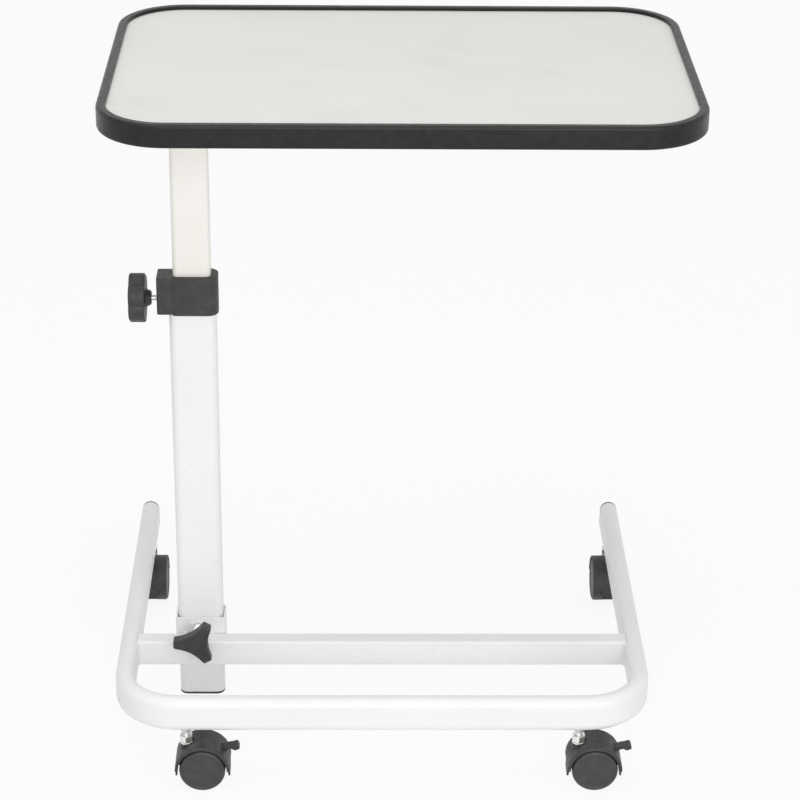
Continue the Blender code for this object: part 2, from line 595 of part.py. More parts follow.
def build_collar():
    axis = (COLUMN_X, COLUMN_Y, 0)
    grip = SEAT + COLLAR_WALL
    outer_width = LOWER_WIDTH + 2 * grip
    outer_depth = LOWER_DEPTH + 2 * grip
    half_depth = outer_depth / 2
    corner = LOWER_CORNER + grip
    corner_x = outer_width / 2 - corner
    seam = BLOCK_COVER - LOWER_WIDTH / 2
    outer = arc(corner_x, corner - half_depth, corner, 270, 360, CORNER_STEPS)
    outer += arc(corner_x, half_depth - corner, corner, 0, 90, CORNER_STEPS)
    outer += [(seam, half_depth), (seam, -half_depth)]
    collar = add_object("clamp_collar", prism(outer, COLLAR_BOTTOM, COLLAR_TOP), BLACK_PLASTIC, axis)

    block_left = -outer_width / 2 - BLOCK_LENGTH
    block_right = seam + BLOCK_OVERLAP
    block = rounded_rect(block_right - block_left, outer_depth - 2 * BLOCK_INSET, BLOCK_INSET * 2, 3)
    middle = COLUMN_X + (block_left + block_right) / 2
    block_bm = prism(block, COLLAR_BOTTOM + BLOCK_INSET, COLLAR_TOP - BLOCK_INSET / 2)
    boolean(collar, cutter("clamp_block", block_bm, (middle, COLUMN_Y, 0)), "UNION")

    pocket = inset_rect(LOWER_WIDTH, LOWER_DEPTH, LOWER_CORNER, -SEAT)
    pocket_bm = prism(pocket, COLLAR_BOTTOM - COLLAR_ROOF, LOWER_TOP + SEAT)
    boolean(collar, cutter("collar_pocket", pocket_bm, axis))
    guide = inset_rect(UPPER_WIDTH, UPPER_DEPTH, UPPER_CORNER, -SLIDE_PLAY)
    guide_bm = prism(guide, LOWER_TOP - COLLAR_ROOF, COLLAR_TOP + COLLAR_ROOF)
    boolean(collar, cutter("collar_guide", guide_bm, axis))

    clamp = (COLUMN_X, COLUMN_Y, CLAMP_Z)
    screw_bore = circle(CLAMP_SCREW_RADIUS + SEAT)
    bore = along_x(prism(screw_bore, block_left - BLOCK_LENGTH, -LOWER_WIDTH / 4))
    boolean(collar, cutter("clamp_bore", bore, clamp))
    nut_right = -LOWER_WIDTH / 2 - 2 * SEAT
    nut_left = nut_right - CLAMP_NUT_HEIGHT
    nut_trap = along_x(prism(hexagon(CLAMP_NUT_FLATS + 2 * SEAT), nut_left - SEAT, -LOWER_WIDTH / 4))
    boolean(collar, cutter("nut_trap", nut_trap, clamp))
    nut = nut_mesh(CLAMP_NUT_FLATS, CLAMP_SCREW_RADIUS, nut_left, nut_right)
    add_object("collar_nut", along_x(nut), ZINC, clamp)

    tip_right = -UPPER_WIDTH / 2 - SEAT
    tip = along_x(prism(circle(CLAMP_SCREW_RADIUS), tip_right - TIP_LENGTH, tip_right))
    add_object("height_screw_tip", tip, NYLON, clamp)

    hub_right = block_left - CLAMP_STANDOFF
    hub_left = hub_right - HUB_LENGTH
    star_left = hub_left - STAR_THICKNESS
    bore_left = hub_left - STAR_THICKNESS / 2
    stud = along_x(prism(circle(CLAMP_SCREW_RADIUS), bore_left + SEAT, tip_right - TIP_LENGTH - SEAT))
    add_object("height_knob_stud", stud, ZINC, clamp)

    steps = STAR_LOBES * LOBE_STEPS
    star = []
    for i in range(steps):
        angle = 2 * math.pi * i / steps
        radius = STAR_RADIUS - STAR_NOTCH * (1 - abs(math.cos(STAR_LOBES * angle / 2)))
        star.append((radius * math.cos(angle), radius * math.sin(angle)))
    hub = circle(HUB_RADIUS, steps)
    hub_base = circle(HUB_RADIUS + STAR_ROUND, steps)
    body = stack(
        (scaled(star, STAR_ROUND), star_left),
        (star, star_left + STAR_ROUND),
        (star, hub_left - STAR_ROUND),
        (scaled(star, STAR_ROUND), hub_left),
        (hub_base, hub_left),
        (hub, hub_right),
    )
    knob = add_object("height_knob", along_x(body), BLACK_PLASTIC, clamp)
    knob_bore = along_x(prism(screw_bore, bore_left, hub_right + HUB_LENGTH))
    boolean(knob, cutter("height_knob_bore", knob_bore, clamp))


def build_top():
    def outline(inset):
        return inset_rect(TABLE_WIDTH, TABLE_DEPTH, TABLE_CORNER, inset, TABLE_CORNER_STEPS)

    middle = (TABLE_X, TABLE_Y, 0)
    board_edge = outline(TRIM_WALL + SEAT)
    open_face = outline(TRIM_LIP + SEAT)
    rim = BOARD_TOP - BOARD_REBATE
    board_bm = stack(
        (board_edge, BOARD_BOTTOM),
        (board_edge, rim),
        (open_face, rim),
        (open_face, BOARD_TOP),
    )
    board = add_object("tabletop_board", board_bm, LAMINATE, middle)

    bottom = TABLE_HEIGHT - TRIM_HEIGHT
    slot_bottom = bottom + TRIM_SKIN
    slot_top = rim + SEAT
    soft = TRIM_ROUND * (1 - math.sqrt(0.5))
    nose = TRIM_SKIN / 3
    section = (
        (TRIM_LIP, slot_bottom),
        (TRIM_LIP, bottom + nose),
        (TRIM_LIP - nose, bottom),
        (TRIM_ROUND, bottom),
        (soft, bottom + soft),
        (0.0, bottom + TRIM_ROUND),
        (0.0, TABLE_HEIGHT - TRIM_ROUND),
        (soft, TABLE_HEIGHT - soft),
        (TRIM_ROUND, TABLE_HEIGHT),
        (TRIM_LIP - nose, TABLE_HEIGHT),
        (TRIM_LIP, TABLE_HEIGHT - nose),
        (TRIM_LIP, slot_top),
        (TRIM_WALL, slot_top),
        (TRIM_WALL, slot_bottom),
    )
    loops = [at_height(outline(inset), z) for inset, z in section]
    add_object("edge_trim", skin(loops, closed=True), BLACK_TRIM, middle)

    rail_outer = rounded_rect(RAIL_HEIGHT, RAIL_DEPTH, RAIL_CORNER, SMALL_CORNER_STEPS)
    rail_inner = inset_rect(RAIL_HEIGHT, RAIL_DEPTH, RAIL_CORNER, RAIL_WALL, SMALL_CORNER_STEPS)
    rail_axis = (COLUMN_X, COLUMN_Y, RAIL_BOTTOM + RAIL_HEIGHT / 2)
    rail = along_x(tube(rail_outer, rail_inner, -RAIL_LEFT, RAIL_RIGHT))
    add_object("support_rail", rail, WHITE_PAINT, rail_axis)
    spigot = inset_rect(RAIL_HEIGHT, RAIL_DEPTH, RAIL_CORNER, RAIL_WALL + SEAT, SMALL_CORNER_STEPS)
    for side, x, turn in (("left", -RAIL_LEFT - SEAT, 90), ("right", RAIL_RIGHT + SEAT, -90)):
        end = (COLUMN_X + x, COLUMN_Y, rail_axis[2])
        plug("rail_plug_" + side, rail_outer, spigot, end, (0, math.radians(turn), 0))

    strap_left = COLUMN_X - RAIL_LEFT + STRAP_INSET
    strap_right = COLUMN_X + RAIL_RIGHT - STRAP_INSET
    strap_outline = rounded_rect(STRAP_WIDTH, STRAP_LENGTH, STRAP_CORNER)
    screw_bore = circle(SCREW_RADIUS + SEAT, NUT_STEPS)
    screw_y = STRAP_LENGTH / 2 - SCREW_INSET
    for side, x in (("left", strap_left), ("right", strap_right)):
        strap_bm = prism(strap_outline, STRAP_BOTTOM, STRAP_TOP)
        strap = add_object("support_strap_" + side, strap_bm, WHITE_PAINT, (x, TABLE_Y, 0))
        for end, y in (("front", TABLE_Y - screw_y), ("rear", TABLE_Y + screw_y)):
            name = "wood_screw_" + side + "_" + end
            hole = prism(screw_bore, STRAP_BOTTOM - STRAP_THICKNESS, SCREW_POINT + SEAT)
            drill = cutter(name + "_hole", hole, (x, y, 0))
            boolean(strap, drill)
            boolean(board, drill)
            head_top = STRAP_BOTTOM - SEAT
            head_bottom = head_top - SCREW_HEAD_HEIGHT
            screw = lathe(
                [
                    (0.0, head_bottom),
                    (SCREW_HEAD_FLAT, head_bottom),
                    (SCREW_HEAD_RADIUS, head_bottom + SCREW_HEAD_HEIGHT / 2),
                    (SCREW_HEAD_RADIUS, head_top),
                    (SCREW_RADIUS, head_top),
                    (SCREW_RADIUS, SCREW_POINT - SCREW_RADIUS),
                    (0.0, SCREW_POINT),
                ],
                NUT_STEPS,
            )
            add_object(name, screw, ZINC, (x, y, 0))


def hood_mesh():
    """Roof over both wheels, in the caster's frame: axle along Y through (trail, axle height)."""
    roof = arc(0, 0, ROOF_RADIUS, 0, 180, HOOD_STEPS)
    roof += arc(0, 0, ROOF_RADIUS - HOOD_WALL, 180, 0, HOOD_STEPS)
    return turned(prism(roof, -CASTER_HALF, CASTER_HALF), 90, "X")


def fin_mesh():
    """Web between the wheels, with the boss round the axle."""
    outline = arc(0, 0, ROOF_RADIUS - FIN_INSET, 0, 180, HOOD_STEPS)
    outline += arc(0, 0, AXLE_BOSS_RADIUS, 180, 360, END_STEPS)
    return turned(prism(outline, -FIN_WIDTH / 2, FIN_WIDTH / 2), 90, "X")


def flap_mesh(way):
    """End flap that carries the roof on below the axle, ahead of the stem (-1) or behind the wheels (1)."""
    outer = ROOF_RADIUS - FIN_INSET
    inner = ROOF_RADIUS - HOOD_WALL + FIN_INSET / 2
    outline = [
        (way * inner, FLAP_TIP),
        (way * (outer - FLAP_TIP), -FLAP_DROP),
        (way * outer, -FLAP_DROP),
        (way * outer, FLAP_TIP),
    ]
    return turned(prism(outline[::way], -FLAP_WIDTH / 2, FLAP_WIDTH / 2), 90, "X")


def lever_mesh():
    """Brake lever along +X from its pivot, with a trunnion on each side and a turned-down tip."""
    half = LEVER_THICKNESS / 2
    profile = arc(0, 0, half, 90, 270, END_STEPS)
    profile += [
        (LEVER_LENGTH - 2 * LEVER_NIB_LENGTH, -half),
        (LEVER_LENGTH - LEVER_NIB_LENGTH, -half - LEVER_NIB),
        (LEVER_LENGTH, LEVER_NIB / 2 - half),
        (LEVER_LENGTH, half - LEVER_NIB),
        (LEVER_LENGTH - LEVER_NIB, half),
    ]
    return turned(prism(profile, -LEVER_WIDTH / 2, LEVER_WIDTH / 2), 90, "X")


def build_caster(place, x, y, yaw, braked):
    swivel = add_empty("caster_swivel_" + place, (x, y, 0), yaw)
    axle_at = (CASTER_TRAIL, 0, AXLE_Z)
    hood = add_object("caster_hood_" + place, hood_mesh(), BLACK_PLASTIC, axle_at, swivel)
    boolean(hood, cutter("fin_" + place, fin_mesh(), axle_at, swivel), "UNION")
    boolean(hood, cutter("front_flap_" + place, flap_mesh(-1), axle_at, swivel), "UNION")
    boolean(hood, cutter("rear_flap_" + place, flap_mesh(1), axle_at, swivel), "UNION")
    boss = prism(circle(STEM_RADIUS + STEM_BOSS_WALL), AXLE_Z, STEM_BOSS_TOP)
    boolean(hood, cutter("stem_boss_" + place, boss, (0, 0, 0), swivel), "UNION")
    recess_radius = STEM_FLANGE_RADIUS + STEM_RECESS_GAP
    recess = prism(circle(recess_radius), STEM_BOSS_TOP, STEM_BOSS_TOP + recess_radius)
    boolean(hood, cutter("stem_recess_" + place, recess, (0, 0, 0), swivel))
    flange_bottom = STEM_BOSS_TOP + SEAT
    stem_foot = flange_bottom - STEM_SOCKET
    bore = prism(circle(STEM_RADIUS + SEAT), stem_foot - SEAT, STEM_BOSS_TOP + STEM_SOCKET)
    boolean(hood, cutter("stem_bore_" + place, bore, (0, 0, 0), swivel))
    axle_bore = along_y(prism(circle(AXLE_RADIUS + SEAT), -FIN_WIDTH, FIN_WIDTH))
    boolean(hood, cutter("axle_bore_" + place, axle_bore, axle_at, swivel))

    stem_bm = lathe(
        [
            (0.0, stem_foot),
            (STEM_RADIUS, stem_foot),
            (STEM_RADIUS, flange_bottom),
            (STEM_FLANGE_RADIUS, flange_bottom),
            (STEM_FLANGE_RADIUS, flange_bottom + STEM_FLANGE_HEIGHT),
            (STEM_RADIUS, flange_bottom + STEM_FLANGE_HEIGHT),
            (STEM_RADIUS, CASTER_HEIGHT + STEM_GRIP),
            (0.0, CASTER_HEIGHT + STEM_GRIP),
        ]
    )
    add_object("caster_stem_" + place, stem_bm, ZINC, (x, y, 0))
    nut_bottom = flange_bottom + STEM_FLANGE_HEIGHT + SEAT
    nut = nut_mesh(LOCK_NUT_FLATS, STEM_RADIUS, nut_bottom, nut_bottom + LOCK_NUT_HEIGHT)
    add_object("caster_nut_" + place, nut, ZINC, (x, y, 0))

    axle_half = WHEEL_INNER + AXLE_BITE
    axle = along_y(prism(circle(AXLE_RADIUS), -axle_half, axle_half))
    add_object("caster_axle_" + place, axle, STEEL, axle_at, swivel)

    rim = WHEEL_RADIUS - WHEEL_RIM
    tread = WHEEL_RIM / 2
    outer_face = WHEEL_INNER + WHEEL_WIDTH
    bore_radius = (AXLE_RADIUS + RUNNING) / math.cos(math.pi / WHEEL_STEPS)
    half_step = math.pi / WHEEL_STEPS
    for side, turn in (("a", 90), ("b", -90)):
        wheel = lathe(
            [
                (0.0, outer_face - WHEEL_DISH),
                (rim - WHEEL_DISH, outer_face - WHEEL_DISH),
                (rim, outer_face),
                (WHEEL_RADIUS - tread, outer_face),
                (WHEEL_RADIUS, outer_face - tread),
                (WHEEL_RADIUS, WHEEL_INNER + tread),
                (WHEEL_RADIUS - tread, WHEEL_INNER),
                (bore_radius, WHEEL_INNER),
                (bore_radius, WHEEL_INNER + AXLE_BITE + SEAT),
                (0.0, WHEEL_INNER + AXLE_BITE + SEAT),
            ],
            WHEEL_STEPS,
            half_step,
        )
        name = "caster_wheel_" + place + "_" + side
        add_object(name, turned(wheel, turn, "X"), WHEEL_PLASTIC, axle_at, swivel)

    if braked:
        bearing = math.radians(LEVER_BEARING)
        reach = ROOF_RADIUS - LEVER_SINK
        pivot = (CASTER_TRAIL + reach * math.cos(bearing), 0, AXLE_Z + reach * math.sin(bearing))
        slot_half = LEVER_THICKNESS / 2 + LEVER_LENGTH * math.tan(math.radians(LEVER_PRESS / 2)) / 2
        slot_bm = prism(
            [
                (-LEVER_THICKNESS / 2 - SEAT, -slot_half),
                (LEVER_LENGTH, -slot_half),
                (LEVER_LENGTH, slot_half),
                (-LEVER_THICKNESS / 2 - SEAT, slot_half),
            ],
            -LEVER_WIDTH / 2 - SEAT,
            LEVER_WIDTH / 2 + SEAT,
        )
        slot = turned(slot_bm, 90, "X")
        turned(slot, -(LEVER_REST - LEVER_PRESS / 2), "Y")
        boolean(hood, cutter("lever_slot_" + place, slot, pivot, swivel))
        trunnion_half = LEVER_WIDTH / 2 + TRUNNION_LENGTH
        bore_half = trunnion_half + SEAT
        trunnion_bore = along_y(prism(circle(TRUNNION_RADIUS + SEAT), -bore_half, bore_half))
        boolean(hood, cutter("trunnion_bore_" + place, trunnion_bore, pivot, swivel))
        lever_bm = turned(lever_mesh(), -LEVER_REST, "Y")
        lever = add_object("brake_lever_" + place, lever_bm, BLACK_PLASTIC, pivot, swivel)
        trunnion = along_y(prism(circle(TRUNNION_RADIUS), -trunnion_half, trunnion_half))
        boolean(lever, cutter("trunnion_" + place, trunnion, pivot, swivel), "UNION")


def main():
    for old in list(bpy.data.objects):
        bpy.data.objects.remove(old, do_unlink=True)
    build_base()
    build_socket()
    build_column()
    build_collar()
    build_top()
    for place, x, y, yaw in caster_places():
        build_caster(place, x, y, yaw, place.startswith("front"))


main()
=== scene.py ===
import json
import math

import bmesh
import bpy
from mathutils import Matrix, Vector


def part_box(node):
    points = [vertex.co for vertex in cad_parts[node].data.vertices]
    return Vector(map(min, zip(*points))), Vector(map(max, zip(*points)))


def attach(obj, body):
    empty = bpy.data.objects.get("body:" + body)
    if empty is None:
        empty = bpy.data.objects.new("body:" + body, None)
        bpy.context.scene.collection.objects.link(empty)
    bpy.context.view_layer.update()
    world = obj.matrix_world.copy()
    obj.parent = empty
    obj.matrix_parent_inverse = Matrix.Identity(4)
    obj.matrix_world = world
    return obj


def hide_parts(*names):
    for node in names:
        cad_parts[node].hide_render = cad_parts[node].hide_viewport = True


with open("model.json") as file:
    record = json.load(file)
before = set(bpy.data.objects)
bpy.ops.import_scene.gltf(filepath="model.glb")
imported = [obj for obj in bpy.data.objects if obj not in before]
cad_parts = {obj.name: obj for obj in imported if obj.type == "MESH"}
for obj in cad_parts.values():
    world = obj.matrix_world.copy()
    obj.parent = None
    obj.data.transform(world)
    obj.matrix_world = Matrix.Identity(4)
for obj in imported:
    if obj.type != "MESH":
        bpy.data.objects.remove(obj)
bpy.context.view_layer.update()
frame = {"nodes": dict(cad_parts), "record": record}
cadNodes = frame["nodes"]
print("frame: loaded", len(cadNodes), "nodes")

tiny = 1e-5
past = 0.010  # how far a cutting tool runs past the surface
tubeRim = 0.0003
casterPlaces = ("front_left", "front_right", "rear_left", "rear_right")


# selecting and shaping, as by hand in edit mode

def clearSelection():
    if bpy.context.mode != "OBJECT":
        bpy.ops.object.mode_set(mode="OBJECT")
    bpy.ops.object.select_all(action="DESELECT")


def choose(piece):
    clearSelection()
    piece.select_set(True)
    bpy.context.view_layer.objects.active = piece


def openMesh(piece):
    choose(piece)
    bpy.ops.object.mode_set(mode="EDIT")


def begin(name, addPrimitive, **settings):
    clearSelection()
    addPrimitive(**settings)
    piece = bpy.context.object
    piece.name = name
    piece.data.name = name
    bpy.ops.object.transform_apply(location=True, rotation=True, scale=True)
    bpy.ops.object.mode_set(mode="EDIT")
    pickAll()
    return piece


def pickAll():
    bpy.ops.mesh.select_mode(type="VERT")
    bpy.ops.mesh.select_all(action="SELECT")


def pickFrom(kind, test):
    bpy.ops.mesh.select_mode(type=kind)
    bpy.ops.mesh.select_all(action="DESELECT")
    mesh = bpy.context.object.data
    shape = bmesh.from_edit_mesh(mesh)
    shape.normal_update()
    items = {"VERT": shape.verts, "EDGE": shape.edges, "FACE": shape.faces}[kind]
    for item in items:
        if test(item):
            item.select_set(True)
    shape.select_flush_mode()
    bmesh.update_edit_mesh(mesh)


def pickVerts(test):
    pickFrom("VERT", lambda v: test(v.co))


def pickEdges(test):
    pickFrom("EDGE", lambda e: test(e.verts[0].co, e.verts[1].co))


def pickFaces(test):
    pickFrom("FACE", lambda f: test(f.calc_center_median(), f.normal))


def extrude(x=0.0, y=0.0, z=0.0):
    bpy.ops.mesh.extrude_region_move(TRANSFORM_OT_translate={"value": (x, y, z)})


def shift(x=0.0, y=0.0, z=0.0):
    bpy.ops.transform.translate(value=(x, y, z))


def grow(about, x=1.0, y=1.0, z=1.0):
    bpy.ops.transform.resize(value=(x, y, z), center_override=about)


def turn(degrees, axis, about=(0, 0, 0)):  # with no window the operator turns the other way
    bpy.ops.transform.rotate(value=math.radians(-degrees), orient_axis=axis, center_override=about)


def inset(width, depth=0.0):
    bpy.ops.mesh.inset(thickness=width, depth=depth)


def bevelEdges(width, segments):
    bpy.ops.mesh.bevel(offset=width, segments=segments, affect="EDGES", profile=0.5, clamp_overlap=True)


def roundCorners(width, segments):
    bpy.ops.mesh.bevel(offset=width, segments=segments, affect="VERTICES", profile=0.5, clamp_overlap=False)


def cleanShell(gap=tiny):
    pickAll()
    bpy.ops.mesh.remove_doubles(threshold=gap)
    bpy.ops.mesh.normals_make_consistent(inside=False)


def applied(piece, kind, **settings):
    choose(piece)
    modifier = piece.modifiers.new(kind.lower(), kind)
    for key, value in settings.items():
        setattr(modifier, key, value)
    bpy.ops.object.modifier_apply(modifier=modifier.name)


def join(piece, tool, operation):
    applied(piece, "BOOLEAN", object=tool, operation=operation, solver="EXACT")
    bpy.data.objects.remove(tool)


def cut(piece, tool):
    join(piece, tool, "DIFFERENCE")


def fuse(piece, tool):
    join(piece, tool, "UNION")


def soften(piece, width, segments=2, angle=40):
    applied(piece, "WELD", merge_threshold=width * 0.35)  # the shortest edges would choke the bevel
    applied(piece, "BEVEL", width=width, segments=segments, limit_method="ANGLE",
            angle_limit=math.radians(angle), use_clamp_overlap=True, harden_normals=False)


def thicken(piece, wall):
    applied(piece, "SOLIDIFY", thickness=wall, offset=-1.0, use_even_offset=True)


def finishPiece(piece, body, slot, *nodes, smooth=38):
    choose(piece)
    bpy.ops.object.shade_smooth_by_angle(angle=math.radians(smooth))
    applied(piece, "WEIGHTED_NORMAL", keep_sharp=True, weight=50)
    piece.data.materials.clear()
    piece.data.materials.append(finishes[slot])
    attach(piece, body)
    if nodes:
        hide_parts(*nodes)
    return piece


def roundedPlate(name, size, corner, segments, at=(0, 0, 0), tilt=0.0, axis="X"):
    piece = begin(name, bpy.ops.mesh.primitive_plane_add, size=1)
    grow((0, 0, 0), size[0], size[1])
    roundCorners(corner, segments)
    pickAll()
    bpy.ops.mesh.remove_doubles(threshold=tiny * 5)
    place(tilt, axis, at)
    return piece


def straightTube(name, size, corner, segments, wall, start, run, tilt=0.0, axis="X", rim=tubeRim):
    piece = roundedPlate(name, size, corner, segments, start, tilt, axis)
    bpy.ops.mesh.delete(type="ONLY_FACE")
    pickAll()
    extrude(*run)
    cleanShell()
    thicken(piece, wall)
    soften(piece, rim, 2, 60)
    return piece


def turnedPiece(name, profile, vertices=48, tilt=0.0, axis="X", at=(0, 0, 0)):
    radius, height = profile[0]
    piece = begin(name, bpy.ops.mesh.primitive_circle_add, vertices=vertices, radius=radius,
                  fill_type="NGON", location=(0, 0, height))
    for nextRadius, nextHeight in profile[1:]:
        extrude(z=nextHeight - height)
        share = nextRadius / radius
        grow((0, 0, nextHeight), share, share, 1.0)
        radius, height = nextRadius, nextHeight
    cleanShell()
    place(tilt, axis, at)
    return piece


def place(tilt, axis, at):
    pickAll()
    if tilt:
        turn(tilt, axis)
    shift(*at)


def quarterArc(radius, height, reach, start, end, steps):
    points = []
    for i in range(steps + 1):
        angle = math.radians(start + (end - start) * i / steps)
        points.append((radius + reach * math.cos(angle), height + reach * math.sin(angle)))
    return points


def middleOf(node):
    low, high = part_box(node)
    return (low + high) / 2


# finishes

def newFinish(name, colour, rough, metal=0.0, gloss=0.5):
    material = bpy.data.materials.new(name)
    material.use_nodes = True
    shader = material.node_tree.nodes["Principled BSDF"]
    shader.inputs["Base Color"].default_value = (*colour, 1.0)
    shader.inputs["Roughness"].default_value = rough
    shader.inputs["Metallic"].default_value = metal
    shader.inputs["Specular IOR Level"].default_value = gloss
    return material


def grainOf(material, scale, detail=4.0, stretch=(1.0, 1.0, 1.0)):
    tree = material.node_tree
    coords = tree.nodes.new("ShaderNodeTexCoord")
    mapping = tree.nodes.new("ShaderNodeMapping")
    mapping.inputs["Scale"].default_value = stretch
    noise = tree.nodes.new("ShaderNodeTexNoise")
    noise.inputs["Scale"].default_value = scale
    noise.inputs["Detail"].default_value = detail
    tree.links.new(coords.outputs["Object"], mapping.inputs["Vector"])
    tree.links.new(mapping.outputs["Vector"], noise.inputs["Vector"])
    return noise


def varyRoughness(material, noise, low, high):
    tree = material.node_tree
    spread = tree.nodes.new("ShaderNodeMapRange")
    spread.inputs["From Min"].default_value = 0.3
    spread.inputs["From Max"].default_value = 0.7
    spread.inputs["To Min"].default_value = low
    spread.inputs["To Max"].default_value = high
    tree.links.new(noise.outputs["Fac"], spread.inputs["Value"])
    tree.links.new(spread.outputs["Result"], tree.nodes["Principled BSDF"].inputs["Roughness"])


def varyColour(material, noise, stops):
    tree = material.node_tree
    ramp = tree.nodes.new("ShaderNodeValToRGB")
    ramp.color_ramp.elements[0].position = stops[0][0]
    ramp.color_ramp.elements[0].color = (*stops[0][1], 1.0)
    ramp.color_ramp.elements[1].position = stops[-1][0]
    ramp.color_ramp.elements[1].color = (*stops[-1][1], 1.0)
    for position, colour in stops[1:-1]:
        ramp.color_ramp.elements.new(position).color = (*colour, 1.0)
    tree.links.new(noise.outputs["Fac"], ramp.inputs["Fac"])
    tree.links.new(ramp.outputs["Color"], tree.nodes["Principled BSDF"].inputs["Base Color"])
    return ramp


def roughen(material, noise, strength, depth):
    tree = material.node_tree
    bump = tree.nodes.new("ShaderNodeBump")
    bump.inputs["Strength"].default_value = strength
    bump.inputs["Distance"].default_value = depth
    tree.links.new(noise.outputs["Fac"], bump.inputs["Height"])
    tree.links.new(bump.outputs["Normal"], tree.nodes["Principled BSDF"].inputs["Normal"])


def powderCoat(name, colour, shade, rough):
    material = newFinish(name, colour, rough)
    varyColour(material, grainOf(material, scale=14.0, detail=3.0), ((0.35, shade), (0.62, colour)))
    varyRoughness(material, grainOf(material, scale=60.0, detail=3.0), rough - 0.05, rough + 0.07)
    roughen(material, grainOf(material, scale=420.0, detail=2.0), strength=0.05, depth=0.0002)
    return material


def mouldedPlastic(name, colour, worn, rough, grain, gloss=0.5):
    material = newFinish(name, colour, rough, gloss=gloss)
    varyColour(material, grainOf(material, scale=90.0, detail=6.0), ((0.38, colour), (0.70, worn)))
    varyRoughness(material, grainOf(material, scale=160.0, detail=4.0), rough - 0.07, rough + 0.09)
    roughen(material, grainOf(material, scale=grain, detail=2.0), strength=0.25, depth=0.0002)
    return material


def platedMetal(name, colour, dull, rough, stretch):
    material = newFinish(name, colour, rough, 1.0)
    varyColour(material, grainOf(material, scale=260.0, detail=3.0), ((0.35, dull), (0.60, colour)))
    brushed = grainOf(material, scale=700.0, detail=4.0, stretch=stretch)
    varyRoughness(material, brushed, rough - 0.06, rough + 0.12)
    roughen(material, grainOf(material, scale=900.0, detail=2.0, stretch=stretch), strength=0.10, depth=0.0001)
    return material


def laminateTop():
    colour = (0.788, 0.788, 0.757)
    dull, bright = (0.757, 0.759, 0.736), (0.808, 0.806, 0.772)
    material = newFinish("laminateTop", colour, 0.58, gloss=0.3)
    smudge = grainOf(material, scale=9.0, detail=5.0)
    smudge.inputs["Distortion"].default_value = 0.6
    varyColour(material, smudge, ((0.30, dull), (0.48, colour), (0.75, bright)))
    varyRoughness(material, grainOf(material, scale=22.0, detail=5.0), low=0.54, high=0.66)
    roughen(material, grainOf(material, scale=1500.0, detail=2.0), strength=0.08, depth=0.0001)
    return material


finishes = {
    "laminate_top": laminateTop(),
    "black_edge": mouldedPlastic("edgeBlack", (0.012, 0.012, 0.012), (0.018, 0.018, 0.018),
                                 rough=0.34, grain=900.0, gloss=0.26),
    "ivory_paint": powderCoat("ivoryCoat", (0.900, 0.880, 0.835), (0.885, 0.862, 0.815), rough=0.34),
    "white_paint": powderCoat("whiteCoat", (0.890, 0.893, 0.890), (0.872, 0.876, 0.874), rough=0.32),
    "black_plastic": mouldedPlastic("matteBlack", (0.034, 0.033, 0.032), (0.052, 0.051, 0.049),
                                    rough=0.50, grain=1600.0, gloss=0.42),
    "wheel_plastic": mouldedPlastic("wheelBlack", (0.036, 0.036, 0.039), (0.052, 0.052, 0.055),
                                    rough=0.48, grain=1300.0),
    "zinc": platedMetal("brightZinc", (0.90, 0.90, 0.88), (0.78, 0.78, 0.76),
                        rough=0.34, stretch=(1.0, 1.0, 4.0)),
    "steel": platedMetal("plainSteel", (0.62, 0.62, 0.62), (0.50, 0.50, 0.50),
                         rough=0.36, stretch=(4.0, 1.0, 1.0)),
    "nylon": mouldedPlastic("nylon", (0.80, 0.79, 0.75), (0.74, 0.73, 0.69), rough=0.50, grain=900.0),
}
for part in frame["record"]["subparts"]:
    node = cadNodes[part["node"]]
    node.data.materials.clear()
    node.data.materials.append(finishes[part["material_slot"]])
print("finishes:", len(finishes), "on", len(cadNodes), "nodes")


# tabletop edge

edgeSizes = dict(corner=0.070, lip=0.0095, wall=0.0035, outerRound=0.0034, noseRound=0.0010)


def makeEdgeTrim():
    low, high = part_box("edge_trim")
    middle = (low + high) / 2
    piece = roundedPlate("edgeTrim", (high.x - low.x, high.y - low.y), edgeSizes["corner"], 20,
                         (middle.x, middle.y, high.z))
    pickAll()
    extrude(z=low.z - high.z)
    cleanShell()
    pickEdges(lambda a, b: abs(a.z - b.z) < tiny)
    bevelEdges(edgeSizes["outerRound"], 6)
    pickFaces(lambda c, n: abs(n.z) > 0.99 and abs(c.z - middle.z) > (high.z - low.z) / 2 - tiny)
    inset(edgeSizes["lip"] - edgeSizes["outerRound"])
    bpy.ops.mesh.delete(type="FACE")
    cleanShell()
    thicken(piece, edgeSizes["wall"])
    soften(piece, edgeSizes["noseRound"], 3, 60)
    return finishPiece(piece, "upper_mast", "black_edge", "edge_trim")


makeEdgeTrim()
print("tabletop: edge trim")

# columns

columnSizes = dict(lowerCorner=0.009, upperCorner=0.006, wall=0.0015, screwHole=0.0033)


def makeColumns():
    for name, node, corner, body, slot in (
        ("upperColumn", "upper_column", columnSizes["upperCorner"], "upper_mast", "ivory_paint"),
        ("lowerColumn", "lower_column", columnSizes["lowerCorner"], "lower_mast", "white_paint"),
    ):
        low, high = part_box(node)
        size = (high.x - low.x, high.y - low.y)
        start = ((low.x + high.x) / 2, (low.y + high.y) / 2, low.z)
        piece = straightTube(name, size, corner, 8, columnSizes["wall"], start, (0, 0, high.z - low.z))
        if node == "lower_column":  # the clamp screw passes its left wall
            screw = middleOf("height_knob_stud")
            hole = columnSizes["screwHole"]
            cut(piece, turnedPiece("screwHole", [(hole, 0.0), (hole, 2 * past)], 32, 90, "Y",
                                   (low.x - past, screw.y, screw.z)))
        finishPiece(piece, body, slot, node)


makeColumns()
print("columns: upper and lower tube")

# base frame

baseSizes = dict(width=0.020, height=0.040, wall=0.0015, bend=0.062, barCorner=0.0025, bushHole=0.0063,
                 bendSteps=16)


